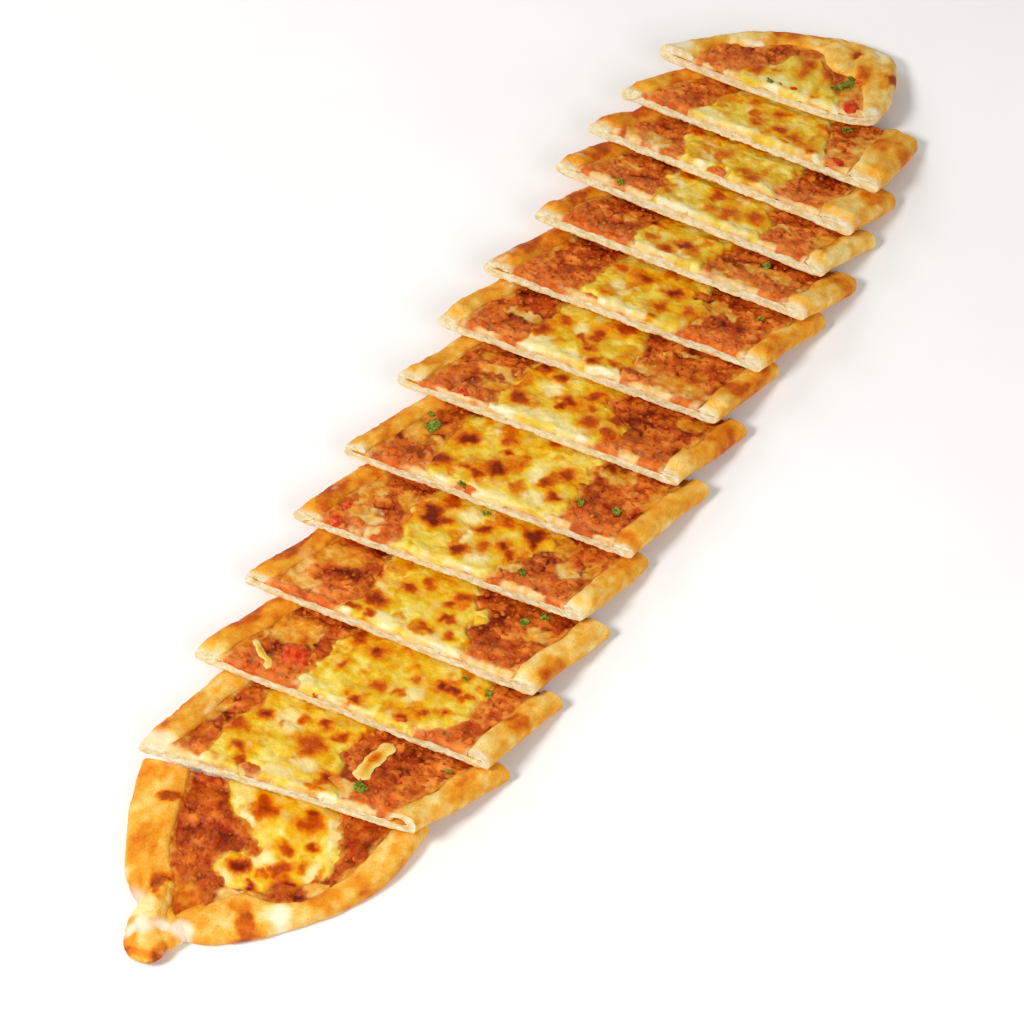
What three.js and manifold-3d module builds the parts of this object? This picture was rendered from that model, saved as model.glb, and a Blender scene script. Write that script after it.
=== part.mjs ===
// A long turkish pide, cut across into fourteen slices that lean on one another
// like shingles. Each slice has a dough base with its rims folded over, a layer
// of minced filling, and a band of melted cheese down the middle.
// Millimetres, +Z up. +X runs along the row, +Y to the left of the cuts.
import * as THREE from "three";
import { mergeVertices } from "three/addons/utils/BufferGeometryUtils.js";
import Module from "manifold-3d";

const wasm = await Module();
wasm.setup();

// ---- Driving dimensions --------------------------------------------------

const SLICES = 14;
const BASE = 5.0;             // dough under the filling
const RIM_FAR = 9.3;          // folded rim, pressed where the next slice lies on it
const RIM_NEAR = 10.0;        // folded rim at the free cut
const POINTED_RIM = 9.5;      // folded rim round a pointed end
const FILLING = 2.0;          // minced filling
const CHEESE = 1.2;           // melted cheese
const GAP = 0.3;              // between two layers that touch
const RIM_CLEARANCE = 0.8;    // between a filling's side and the rim
const LEAN_GAP = 0.4;         // between a slice and the one it leans on
const CUT_BIAS = 4.2;         // degrees that the cuts are turned from square
const EDGE_SLIP = 0.3;        // sideways run of the crust for each mm along the row
const FOLD_MOUTH = 0.9;       // open height of the fold under a rim's lip
const FOLD_END = 0.25;        // open height where the fold ends inside the rim

// How uneven the hand-made edges are.
const EDGE_WAVE = 0.7;        // outer edge of the crust
const RIM_WAVE = 0.9;         // width of a rim
const CROWN_DIP = 0.5;        // height of a rim's crown
const MINCE_DIP = 0.7;        // top of the filling
const CHEESE_WAVE = 1.6;      // sides of the cheese
const CHEESE_SWELL = 0.3;     // top of the cheese
const CHEESE_SWELL_MOST = 0.25;
const CHEESE_EDGE = 0.45;     // share of its thickness that the cheese keeps at its edges
const CHEESE_PRESSED = 0.35;  // share that it loses where the next slice lies on it

// The row starts at the first cut edge that is on top of another slice.
const ROW_START = -190;
const PITCH = [49.3, 44.7, 42.5, 42.5, 46.7, 40, 38, 38.3, 30, 30.3, 29.7, 40.3];
const SIDE_STEP = [7, 6, 8, 8.5, 7, 8, 10.5, 6.5, 2.5, 9, 8, 7.5, 18.5];
const TURN = [1.1, 1.2, 0.2, 1.8, 1.4, 0.6, 0.8, 0.2, -1, -2.6, -2.8, -1.6, 1.2];
const WIDTH = [56, 50, 50, 48, 55, 49, 48, 48, 40, 41, 39, 46, 48.5];
const RIM_LEFT = [14, 13.5, 11.5, 12, 11, 11.5, 12, 13, 11.5, 13, 13, 12];
const RIM_RIGHT = [12.5, 11, 12.5, 10.5, 10.5, 10, 10.5, 10, 12.5, 10.5, 19, 18];

const HALF_LENGTH = 71.3;     // half of a near cut through the full width of the pide
const FAR_HALF = 69.8;        // half of a far cut, a little pressed in
const FIRST_HALF = 67;        // half of the cut that ends the first slice
const SECOND_WEDGE = 6;       // degrees between the two cuts of the second slice
// Half lengths of the near and far cut where the pide narrows to its ends.
const NARROW_HALVES = { 2: [63.3, 68], 12: [71, 66], 13: [69.5, 58.5], 14: [57, 0] };
const CORNER_INSET = 6;       // crown of a rim, measured in from its outer edge
const FIRST_CUT = { x: -183.8, y: 4.4, turn: 14.5 };

// Where the cheese lies on each full slice, as left and right edges at the near
// cut, the middle and the far cut.
const CHEESE_SPAN = [
  { left: [33, 38, 35], right: [-30, -18, -15] },
  { left: [14, 22, 28], right: [-42, -48, -40] },
  { left: [27, 27, 38], right: [-33, -27, -20] },
  { left: [22, 33, 35], right: [-25, -30, -38] },
  { left: [25, 36, 36], right: [-33, -30, -36] },
  { left: [16, 30, 27], right: [-32, -30, -18] },
  { left: [22, 28, 32], right: [-24, -20, -14] },
  { left: [27, 23, 20], right: [-22, -32, -16] },
  { left: [10, 18, 18], right: [-18, -19, -20] },
  { left: [18, 22, 25], right: [-40, -32, -24] },
  { left: [10, 28, 37], right: [-18, -24, -30] },
  { left: [25, 28, 22], right: [-30, -34, -26] },
];

// The pointed first slice: its cut is on the line x = 0, its tip is at -X.
// Outer and inner edge of the folded rim, from the left end of the cut round
// the tip to the right end.
const FIRST_OUTER = [
  [0, 67], [-15, 66], [-33, 62.5], [-52, 57], [-64, 51], [-73, 43], [-79, 34], [-80.5, 24],
  [-78.5, 12], [-72, -4], [-62, -20], [-48, -37.5], [-31, -51.5], [-14, -58.5], [0, -62.5],
];
const FIRST_INNER = [
  [0, 45], [-12, 44], [-24, 42.8], [-36, 41.7], [-46, 38.4], [-55, 32], [-66, 31.5], [-72, 24.5],
  [-60, 14], [-53, 3], [-54, -9], [-50.5, -20.5], [-40, -31.5], [-24, -41], [0, -50],
];
// The knot twisted from the dough at the tip: centre, half sizes and turn of
// the lumps that it is pressed from.
const KNOT = [
  { at: [-76, 38, 5.4], size: [9, 8, 6], turn: 24 },
  { at: [-83.5, 35, 5.6], size: [8, 11, 6.6], turn: -8 },
  { at: [-86, 41, 5.2], size: [6, 6.5, 5.6], turn: 20 },
];
const FIRST_CHEESE_LEFT = [
  [0, 30], [-10, 23], [-18, 17], [-27, 6], [-33, 4], [-38, 18], [-44, 22], [-49, 14], [-50.5, 2],
];
const FIRST_CHEESE_RIGHT = [
  [0, -22], [-8, -26], [-18, -29.5], [-28, -28.5], [-35, -25], [-41, -19], [-45, -13],
  [-48.5, -6], [-50.5, 2],
];

// The pointed last slice: its cut is at the near side, its tip is at +X.
// From the right end of the cut round the tip to the left end.
const LAST_OUTER = [
  [-48.5, -59.5], [-36, -60.5], [-22, -58], [-9, -54.5], [-0.5, -49.5], [2.7, -40], [1.6, -27],
  [-2, -12], [-8.5, 7], [-19, 25.5], [-34, 42.5], [-48.5, 55],
];
const LAST_INNER = [
  [-48.5, -50.5], [-43, -49], [-38, -43], [-33, -37], [-27, -32.5], [-22, -27], [-20.3, -17],
  [-21, -6], [-26.5, 8], [-32, 19.5], [-39.5, 29.5], [-48.5, 35.5],
];
const LAST_CHEESE_LEFT = [[-48.5, 15], [-42, 10], [-34, 2], [-28, -5], [-24, -14]];
const LAST_CHEESE_RIGHT = [[-48.5, -42], [-42, -40.5], [-36, -36], [-29.5, -28], [-24, -14]];

// ---- Resolution ------------------------------------------------------------

const STATIONS = 5;           // steps along a full slice
const FIRST_STEPS = 36;       // steps round the rim of the first slice
const LAST_STEPS = 26;
const FILLING_ROWS = 5;
const FILLING_COLUMNS = 10;
const POINTED_COLUMNS = 7;
const CHEESE_ROWS = 5;
const FIRST_CHEESE_ROWS = 10;
const LAST_CHEESE_ROWS = 6;
const CHEESE_COLUMNS = 7;
const MERGE = 1e-4;
const LEFT_SEED = 31;         // sets the left side's waves apart from the right side's

// ---- Finishes --------------------------------------------------------------

const LAYERS = {
  dough: { color: 0xe6b866, roughness: 0.75 },
  filling: { color: 0xb85a30, roughness: 0.5 },
  cheese: { color: 0xe8cf68, roughness: 0.4 },
};

function layerMaterial(layer) {
  return new THREE.MeshStandardMaterial({ ...LAYERS[layer], metalness: 0 });
}

// ---- Small helpers ---------------------------------------------------------

const radians = THREE.MathUtils.degToRad;
const mix = THREE.MathUtils.lerp;

// A slow, uneven wave between -1 and 1 that differs for each seed.
function wave(seed, t) {
  const a = Math.sin(t * 5.1 + seed * 2.39);
  const b = Math.sin(t * 11.7 + seed * 4.77);
  return 0.65 * a + 0.35 * b;
}

// Reads a list of values at evenly spaced places with a smooth curve.
function along(values, t) {
  const points = values.map((value, i) => new THREE.Vector3(i, value, 0));
  return new THREE.CatmullRomCurve3(points).getPoint(t).y;
}

function planCurve(points) {
  return new THREE.CatmullRomCurve3(points.map(([x, y]) => new THREE.Vector3(x, y, 0)));
}

// Collects triangles and turns them into one geometry with shared corners.
class Skin {
  constructor() {
    this.corners = [];
  }

  triangle(a, b, c) {
    const area = b.clone().sub(a).cross(c.clone().sub(a)).length();
    if (area > MERGE * MERGE) {
      this.corners.push(a, b, c);
    }
  }

  quad(a, b, c, d) {
    this.triangle(a, b, c);
    this.triangle(a, c, d);
  }

  // Fills a flat ring of points. The face looks to where the ring is seen to
  // run counterclockwise; flat() gives a point's place on that face's plane.
  fill(ring, flat) {
    const contour = ring.map(flat);
    const clockwise = THREE.ShapeUtils.isClockWise(contour);
    for (const [i, j, k] of THREE.ShapeUtils.triangulateShape(contour, [])) {
      const turned = (contour[j].x - contour[i].x) * (contour[k].y - contour[i].y)
        - (contour[j].y - contour[i].y) * (contour[k].x - contour[i].x) < 0;
      if (turned === clockwise) {
        this.triangle(ring[i], ring[j], ring[k]);
      } else {
        this.triangle(ring[i], ring[k], ring[j]);
      }
    }
  }

  geometry() {
    const loose = new THREE.BufferGeometry().setFromPoints(this.corners);
    return mergeVertices(loose, MERGE);
  }
}

const fromAbove = (p) => new THREE.Vector2(p.x, p.y);
const alongTheCut = (p) => new THREE.Vector2(p.y, p.z);

// ---- Dough -------------------------------------------------------------------

// Section through a folded rim, from the bottom round the outer edge and over
// the crown to the free lip, into the fold and back to the top of the base.
// Each point is a distance in from the outer edge and a height.
function rimSection(width, height) {
  return [
    [3.4, 0],
    [0.8, 0.1 * height],
    [0, 0.33 * height],
    [0.3, 0.62 * height],
    [1.6, 0.86 * height],
    [Math.min(3.9, 0.4 * width), 0.97 * height],
    [0.58 * width, height],
    [0.82 * width, 0.96 * height],
    [0.96 * width, 0.85 * height],
    [width, 0.73 * height],
    [0.97 * width, BASE + FOLD_MOUTH],
    [0.45 * width, BASE + FOLD_END],
    [0.99 * width, BASE],
  ];
}

// A full slice: the section of the whole width, lofted from the near cut to
// the far cut.
function fullDough(slice) {
  const rings = [];
  for (let i = 0; i <= STATIONS; i += 1) {
    const t = i / STATIONS;
    const height = mix(RIM_NEAR, RIM_FAR, Math.min(1, 2 * t));
    const dip = CROWN_DIP * Math.sin(Math.PI * t);
    const side = (sign, width, seed) => {
      const reach = mix(slice.nearHalf, slice.farHalf, t) + EDGE_WAVE * wave(seed, t);
      const crown = height - dip * (1 + wave(seed + 1, t)) / 2;
      const rim = rimSection(width + RIM_WAVE * wave(seed + 2, t), crown);
      return rim.map(([inset, z]) => {
        const y = sign * (reach - inset);
        return slice.place(t, y, z);
      });
    };
    const right = side(-1, slice.rimRight, slice.number);
    const left = side(1, slice.rimLeft, slice.number + LEFT_SEED);
    rings.push([...right, ...left.reverse()]);
  }
  const skin = new Skin();
  for (let i = 0; i < STATIONS; i += 1) {
    const near = rings[i];
    const far = rings[i + 1];
    near.forEach((point, j) => {
      const k = (j + 1) % near.length;
      skin.quad(near[k], near[j], far[j], far[k]);
    });
  }
  const seenFromNear = (p) => new THREE.Vector2(-p.y, p.z);
  skin.fill(rings[0], seenFromNear);
  skin.fill([...rings[STATIONS]].reverse(), alongTheCut);
  return skin.geometry();
}

// A pointed end: the rim's section follows its outer edge round the tip, and
// a floor of dough closes the space inside it.
function pointedDough(outer, inner, steps, seed) {
  const outerCurve = planCurve(outer);
  const innerCurve = planCurve(inner);
  const sections = [];
  for (let i = 0; i <= steps; i += 1) {
    const t = i / steps;
    const from = outerCurve.getPoint(t);
    const to = innerCurve.getPoint(t);
    const width = from.distanceTo(to);
    const height = POINTED_RIM - CROWN_DIP * (1 + wave(seed, 3 * t)) / 2;
    sections.push(rimSection(width, height).map(([inset, z]) => {
      const point = from.clone().lerp(to, inset / width);
      return point.setZ(z);
    }));
  }
  const skin = new Skin();
  for (let i = 0; i < steps; i += 1) {
    for (let j = 0; j + 1 < sections[i].length; j += 1) {
      skin.quad(sections[i][j], sections[i + 1][j], sections[i + 1][j + 1], sections[i][j + 1]);
    }
  }
  const bottom = sections.map((section) => section[0]);
  const floor = sections.map((section) => section.at(-1));
  skin.fill([...bottom].reverse(), (p) => new THREE.Vector2(-p.x, p.y));
  skin.fill(floor, fromAbove);
  const cut = [...sections[0], ...[...sections[steps]].reverse()];
  const side = Math.sign(sections[0][0].y);
  skin.fill(cut, (p) => new THREE.Vector2(-side * p.y, p.z));
  return skin.geometry();
}

// One lump of the knot: a rounded piece of dough that lies flat on its bottom.
function knotLump({ at, size, turn }) {
  const ball = new THREE.SphereGeometry(1, 16, 10).rotateX(Math.PI / 2);
  ball.deleteAttribute("normal");
  ball.deleteAttribute("uv");
  ball.scale(...size);
  ball.rotateZ(radians(turn));
  ball.translate(...at);
  const position = ball.attributes.position;
  for (let i = 0; i < position.count; i += 1) {
    position.setZ(i, Math.max(0, position.getZ(i)));
  }
  return mergeVertices(ball, MERGE);
}

function asManifold(geometry) {
  const mesh = new wasm.Mesh({
    numProp: 3,
    vertProperties: new Float32Array(geometry.attributes.position.array),
    triVerts: new Uint32Array(geometry.index.array),
  });
  return new wasm.Manifold(mesh);
}

function joined(geometries) {
  const whole = geometries.map(asManifold).reduce((sum, next) => sum.add(next));
  const mesh = whole.getMesh();
  const geometry = new THREE.BufferGeometry();
  geometry.setAttribute("position", new THREE.BufferAttribute(mesh.vertProperties, 3));
  geometry.setIndex(new THREE.BufferAttribute(mesh.triVerts, 1));
  return geometry;
}

// ---- Filling and cheese ---------------------------------------------------------

// A layer between a left and a right edge. rows run from the first cut to the
// other end, columns from left to right. Where both edges meet, it is pointed.
function blanket({ left, right, rows, columns, bottom, top }) {
  const grid = [];
  for (let i = 0; i <= rows; i += 1) {
    const from = left(i / rows);
    const to = right(i / rows);
    const pointed = from.distanceTo(to) < MERGE;
    const line = [];
    for (let j = 0; j <= columns; j += 1) {
      const point = from.clone().lerp(to, j / columns);
      const edge = pointed || j === 0 || j === columns;
      line.push({
        low: point.clone().setZ(bottom),
        high: point.clone().setZ(top(i, pointed ? 0 : j, edge)),
      });
    }
    grid.push(line);
  }
  const skin = new Skin();
  const wall = (a, b) => skin.quad(a.low, b.low, b.high, a.high);
  // Seen from above, the rows run one way and the columns to its right or left.
  const start = grid[0][0].low;
  const across = grid[0][columns].low.clone().sub(start);
  const onward = grid[1][0].low.clone().sub(start);
  const mirrored = across.x * onward.y - across.y * onward.x < 0;
  for (let i = 0; i < rows; i += 1) {
    for (let j = 0; j < columns; j += 1) {
      let ring = [grid[i][j], grid[i][j + 1], grid[i + 1][j + 1], grid[i + 1][j]];
      if (mirrored) {
        ring = ring.reverse();
      }
      skin.quad(...ring.map((p) => p.high));
      skin.quad(...ring.map((p) => p.low).reverse());
    }
  }
  let border = [
    ...grid[0],
    ...grid.slice(1).map((line) => line[columns]),
    ...grid[rows].slice(0, columns).reverse(),
    ...grid.slice(1, rows).reverse().map((line) => line[0]),
  ];
  if (mirrored) {
    border = border.reverse();
  }
  border.forEach((point, i) => wall(point, border[(i + 1) % border.length]));
  return skin.geometry();
}

const FILLING_BOTTOM = BASE + GAP;
const CHEESE_BOTTOM = FILLING_BOTTOM + FILLING + GAP;

// The mince dips and rises, never above the level that carries the cheese.
function fillingTop(seed) {
  return (i, j) => {
    const dip = 0.5 + 0.5 * Math.sin(i * 2.3 + seed) * Math.sin(j * 1.9 + seed * 1.7);
    return FILLING_BOTTOM + FILLING - MINCE_DIP * dip;
  };
}

function cheeseTop(seed, rows) {
  return (i, j, edge) => {
    if (edge) {
      return CHEESE_BOTTOM + CHEESE_EDGE * CHEESE;
    }
    const pressed = i === rows ? CHEESE_PRESSED : 0;
    const swell = CHEESE_SWELL * Math.sin(i * 2.1 + seed * 1.3) * Math.sin(j * 2.7 + seed);
    return CHEESE_BOTTOM + CHEESE * (1 - pressed) + Math.min(swell, CHEESE_SWELL_MOST);
  };
}

function fullFilling(slice) {
  const inset = RIM_WAVE + GAP + EDGE_WAVE;
  const reach = (t) => mix(slice.nearHalf, slice.farHalf, t) - inset;
  return blanket({
    left: (t) => slice.place(t, reach(t) - slice.rimLeft, 0),
    right: (t) => slice.place(t, slice.rimRight - reach(t), 0),
    rows: FILLING_ROWS,
    columns: FILLING_COLUMNS,
    bottom: FILLING_BOTTOM,
    top: fillingTop(slice.number),
  });
}

function fullCheese(slice, span) {
  const uneven = (seed, t) => CHEESE_WAVE * wave(slice.number + seed, 2 * t);
  return blanket({
    left: (t) => slice.place(t, along(span.left, t) + uneven(5, t), 0),
    right: (t) => slice.place(t, along(span.right, t) + uneven(9, t), 0),
    rows: CHEESE_ROWS,
    columns: CHEESE_COLUMNS,
    bottom: CHEESE_BOTTOM,
    top: cheeseTop(slice.number, CHEESE_ROWS),
  });
}

// The filling of a pointed end lies inside the inner edge of its rim, and its
// two sides meet halfway along that edge.
function pointedFilling(inner, steps, seed) {
  const curve = planCurve(inner);
  const insideOf = (t) => {
    const point = curve.getPoint(t);
    const run = curve.getTangent(t);
    const end = t === 0 || t === 1;
    return new THREE.Vector3(
      end ? inner[0][0] : point.x - run.y * RIM_CLEARANCE,
      point.y + run.x * RIM_CLEARANCE,
      0,
    );
  };
  return blanket({
    left: (t) => insideOf(t / 2),
    right: (t) => insideOf(1 - t / 2),
    rows: steps / 2,
    columns: POINTED_COLUMNS,
    bottom: FILLING_BOTTOM,
    top: fillingTop(seed),
  });
}

function pointedCheese(left, right, rows, seed) {
  const leftCurve = planCurve(left);
  const rightCurve = planCurve(right);
  return blanket({
    left: (t) => leftCurve.getPoint(t),
    right: (t) => rightCurve.getPoint(t),
    rows,
    columns: CHEESE_COLUMNS,
    bottom: CHEESE_BOTTOM,
    top: cheeseTop(seed, rows),
  });
}

// ---- The row of leaning slices -----------------------------------------------

// Sizes of one slice. In its own frame the far cut is on x = 0, the near cut at
// -width, and place() gives the point at t from near to far, y to the left.
function sliceSizes(number) {
  if (number === 1) {
    return { number, width: 0, wedge: 0, slip: 0, farHalf: FIRST_HALF };
  }
  const i = number - 2;
  const width = WIDTH[i];
  const wedge = number === 2 ? Math.tan(radians(SECOND_WEDGE)) : 0;
  const slip = EDGE_SLIP;
  const halves = NARROW_HALVES[number] ?? [HALF_LENGTH, FAR_HALF];
  return {
    number,
    width,
    wedge,
    slip,
    nearHalf: halves[0],
    farHalf: halves[1],
    rimLeft: RIM_LEFT[i],
    rimRight: RIM_RIGHT[i],
    place: (t, y, z) => {
      const x = -(1 - t) * (width + wedge * y);
      return new THREE.Vector3(x, y - slip * width * t, z);
    },
  };
}

// Turned by the cut's angle and tilted about its far bottom edge, which stays
// on the ground.
function pose(slice, tilt) {
  const group = new THREE.Group();
  if (slice.number === 1) {
    group.position.set(FIRST_CUT.x, FIRST_CUT.y, 0);
    group.rotation.z = radians(FIRST_CUT.turn);
  } else {
    const i = slice.number - 2;
    const start = PITCH.slice(0, i).reduce((sum, step) => sum + step, ROW_START);
    const turn = radians(CUT_BIAS + TURN[i]);
    const run = slice.width * Math.cos(tilt);
    group.position.set(start + run * Math.cos(turn), SIDE_STEP[i] + run * Math.sin(turn), 0);
    group.rotation.set(0, tilt, turn, "ZYX");
  }
  group.updateMatrixWorld();
  return group;
}

// A slice clears the one before it when that one's far crowns stay under its
// bottom, and its own near corners stay over that one's rims.
function clears(group, slice, before) {
  const over = (point, from, to) => to.worldToLocal(from.localToWorld(point));
  return [1, -1].every((side) => {
    const crown = new THREE.Vector3(
      0, side * (before.slice.farHalf - CORNER_INSET) - before.slice.slip * before.slice.width,
      RIM_FAR,
    );
    const under = over(crown, before.group, group);
    const y = side * (slice.nearHalf - CORNER_INSET);
    const corner = new THREE.Vector3(-slice.width - slice.wedge * y, y, 0);
    const rest = over(corner, group, before.group);
    const inReach = under.x > -slice.width - slice.wedge * under.y - NEARLY;
    return (!inReach || under.z < -LEAN_GAP) && (rest.x > NEARLY || rest.z > RIM_FAR + LEAN_GAP);
  });
}

const TILT_STEP = radians(0.05);
const NEARLY = 1;             // slices this close to lying over each other count as if they do

function leanOn(before, slice) {
  let tilt = 0;
  let group = pose(slice, tilt);
  while (before && !clears(group, slice, before)) {
    tilt += TILT_STEP;
    group = pose(slice, tilt);
  }
  return group;
}

function layersOf(slice) {
  if (slice.number === 1) {
    const rim = pointedDough(FIRST_OUTER, FIRST_INNER, FIRST_STEPS, 1);
    return {
      dough: joined([rim, ...KNOT.map(knotLump)]),
      filling: pointedFilling(FIRST_INNER, FIRST_STEPS, 1),
      cheese: pointedCheese(FIRST_CHEESE_LEFT, FIRST_CHEESE_RIGHT, FIRST_CHEESE_ROWS, 1),
    };
  }
  if (slice.number === SLICES) {
    return {
      dough: pointedDough(LAST_OUTER, LAST_INNER, LAST_STEPS, SLICES),
      filling: pointedFilling(LAST_INNER, LAST_STEPS, SLICES),
      cheese: pointedCheese(LAST_CHEESE_LEFT, LAST_CHEESE_RIGHT, LAST_CHEESE_ROWS, SLICES),
    };
  }
  return {
    dough: fullDough(slice),
    filling: fullFilling(slice),
    cheese: fullCheese(slice, CHEESE_SPAN[slice.number - 2]),
  };
}

const pide = new THREE.Group();
let before = null;
for (let number = 1; number <= SLICES; number += 1) {
  const slice = sliceSizes(number);
  const group = leanOn(before, slice);
  for (const [layer, geometry] of Object.entries(layersOf(slice))) {
    const mesh = new THREE.Mesh(geometry, layerMaterial(layer));
    mesh.name = `${layer}_${String(number).padStart(2, "0")}`;
    group.add(mesh);
  }
  pide.add(group);
  before = { slice, group };
}

// The origin is under the middle of the whole row, on the ground.
const bounds = new THREE.Box3().setFromObject(pide, true);
const centre = bounds.getCenter(new THREE.Vector3());
pide.position.set(-centre.x, -centre.y, -bounds.min.z);

const model = new THREE.Group();
model.add(pide);
model.updateMatrixWorld(true);

export default model;
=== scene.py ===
"""A long turkish pide, cut across into fourteen slices that lean on one another.

Each slice has a dough base with folded rims, a layer of minced meat and a band of
melted cheese. Sizes in the layout below are millimetres in the frame of one slice:
its far cut is on x = 0, its near cut at minus its width, and y runs to the left.
"""
import itertools
import math

import bmesh
import bpy
import numpy as np
from mathutils import Euler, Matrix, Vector


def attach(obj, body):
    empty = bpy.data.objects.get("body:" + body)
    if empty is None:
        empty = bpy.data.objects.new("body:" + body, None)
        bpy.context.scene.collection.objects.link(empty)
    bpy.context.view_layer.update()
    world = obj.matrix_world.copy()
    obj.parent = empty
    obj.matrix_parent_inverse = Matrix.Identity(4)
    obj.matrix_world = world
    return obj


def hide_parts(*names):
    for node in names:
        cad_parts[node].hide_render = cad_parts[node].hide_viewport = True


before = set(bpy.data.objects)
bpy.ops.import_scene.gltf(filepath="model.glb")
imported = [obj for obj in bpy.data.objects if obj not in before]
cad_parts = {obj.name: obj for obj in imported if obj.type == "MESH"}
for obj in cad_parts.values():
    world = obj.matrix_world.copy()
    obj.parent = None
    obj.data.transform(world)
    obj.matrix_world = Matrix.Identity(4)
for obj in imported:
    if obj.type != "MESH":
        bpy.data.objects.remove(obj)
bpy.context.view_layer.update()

bl_info = {
    "name": "Turkish pide",
    "version": (1, 0, 0),
    "blender": (4, 5, 0),
    "location": "View3D > Sidebar > Pide",
    "description": "Builds a sliced pide with minced meat and melted cheese",
    "category": "Add Mesh",
}

MM = 0.001
BODY = "root"

# ---- Layout of the slices, in millimetres and degrees ----

SLICES = 14
BASE = 5.0                # from the underside to the solids' filling
PAN = 4.5                 # dough under the filling, as it shows at a cut
RIM_FAR = 9.3             # folded rim, pressed where the next slice lies on it
RIM_NEAR = 10.0           # folded rim at the free cut
POINTED_RIM = 9.5         # folded rim round a pointed end
LEAN_GAP = 0.4            # between a slice and the one it leans on
OPEN_DEPTH = 0.3          # where an open fold ends, as a share of the rim's width
SHUT_DEPTH = 0.82         # where a fold that is pressed shut ends
PRESSED = 0.66            # height of a rim at the near cut, as a share of its full height
CLOSED = 0.3              # open height of a fold that is pressed shut
PRESSED_RUN = 0.17        # share of a slice over which its rims are pressed down
OPEN_REACH = 14           # how far the last slice's left fold stays open
TUCKED = 0.72             # height of the rim where the knot's strand comes out of it
TUCKED_REACH = (6, 18)    # from there: where the rim starts to rise, and where it is full
# Slices whose folds show at the near cut: side, then the rim's share of its height and
# the open height of the fold.
OPEN_FOLDS = {
    (2, -1): (1.0, 2.6), (3, -1): (0.95, 0.3), (6, 1): (0.92, 1.1), (7, 1): (0.88, 0.7),
    (9, 1): (0.8, 0.5), (4, 1): (0.8, 0.3),
}
EDGE_WAVE = 0.7           # how far the crust's outer edge wanders
RIM_WAVE = 0.9            # how far the width of a rim wanders
CROWN_DIP = 0.5           # how far a rim's crown dips
LEFT_SEED = 31            # sets the left side's waves apart from the right side's

CUT_BIAS = 4.2            # turn of the cuts from square
EDGE_SLIP = 0.3           # sideways run of the crust for each mm along the row
ROW_START = -190
ROW_MIDDLE = (26.58, 2.134, 0.0)
PITCH = (49.3, 44.7, 42.5, 42.5, 46.7, 40, 38, 38.3, 30, 30.3, 29.7, 40.3)
SIDE_STEP = (7, 6, 8, 8.5, 7, 8, 10.5, 6.5, 2.5, 9, 8, 7.5, 18.5)
TURN = (1.1, 1.2, 0.2, 1.8, 1.4, 0.6, 0.8, 0.2, -1, -2.6, -2.8, -1.6, 1.2)
WIDTH = (56, 50, 50, 48, 55, 49, 48, 48, 40, 41, 39, 46, 48.5)
RIM_LEFT = (14, 13.5, 11.5, 12, 11, 11.5, 12, 13, 11.5, 13, 13, 12)
RIM_RIGHT = (12.5, 11, 12.5, 10.5, 10.5, 10, 10.5, 10, 12.5, 10.5, 19, 18)
HALF_LENGTH = 71.3        # half of a near cut through the full width of the pide
FAR_HALF = 69.8           # half of a far cut
FIRST_HALF = 67           # half of the cut that ends the first slice
SECOND_WEDGE = 6          # between the two cuts of the second slice
NARROW_HALVES = {2: (63.3, 68), 12: (71, 66), 13: (69.5, 58.5), 14: (57, 0)}
CORNER_INSET = 6
FIRST_CUT = (-183.8, 4.4, 14.5)
TILT_STEP = 0.05
NEARLY = 1                # slices this close to lying over each other count as if they do
NO_CUT = 50.0             # stands for the distance from a cut that isn't there

# Left and right edge of the cheese, at even steps from the near cut to the far cut.
CHEESE_SPAN = (
    ((36, 41, 42, 40), (-30, -12, -8, -8)),
    ((22, 24, 28, 30), (-36, -47, -43, -38)),
    ((27, 24, 30, 35), (-35, -28, -18, -10)),
    ((20, 28, 33, 33), (-24, -26, -30, -28)),
    ((30, 38, 42, 38), (-30, -30, -24, -22)),
    ((22, 26, 29, 32), (-30, -32, -14, -10)),
    ((28, 31, 33, 34), (-20, -18, -12, -8)),
    ((28, 26, 27, 30), (-25, -27, -20, -14)),
    ((20, 24, 28, 24), (-18, -13, -12, -14)),
    ((19, 24, 28, 31), (-37, -32, -24, -18)),
    ((20, 30, 39, 41), (-30, -23, -21, -22)),
    ((30, 31, 31, 28), (-38, -33, -22, -15)),
)

# The pointed ends: outer and inner edge of the folded rim, and the cheese.
FIRST_OUTER = (
    (0, 67), (-15, 66), (-33, 62.5), (-52, 57), (-63, 50.5), (-69, 42.5), (-75, 34), (-79, 24),
    (-78.5, 12), (-72, -4), (-62, -20), (-48, -37.5), (-31, -51.5), (-14, -58.5), (0, -62.5),
)
FIRST_INNER = (
    (0, 45), (-12, 44), (-24, 42.8), (-36, 41.7), (-46, 38.4), (-55, 32), (-66, 31.5), (-72, 24.5),
    (-60, 14), (-53, 3), (-54, -9), (-50.5, -20.5), (-40, -31.5), (-24, -41), (0, -50),
)
FIRST_CHEESE_LEFT = (
    (0, 30), (-10, 23), (-18, 17), (-27, 6), (-33, 4), (-38, 18), (-44, 22), (-49, 14), (-50.5, 2),
)
FIRST_CHEESE_RIGHT = (
    (0, -22), (-8, -26), (-18, -29.5), (-28, -28.5), (-35, -25), (-41, -19), (-45, -13),
    (-48.5, -6), (-50.5, 2),
)
LAST_OUTER = (
    (-48.5, -59.5), (-36, -60.5), (-22, -58), (-9, -54.5), (-0.5, -49.5), (2.7, -40), (1.6, -27),
    (-2, -12), (-8.5, 7), (-19, 25.5), (-34, 42.5), (-48.5, 55),
)
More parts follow.
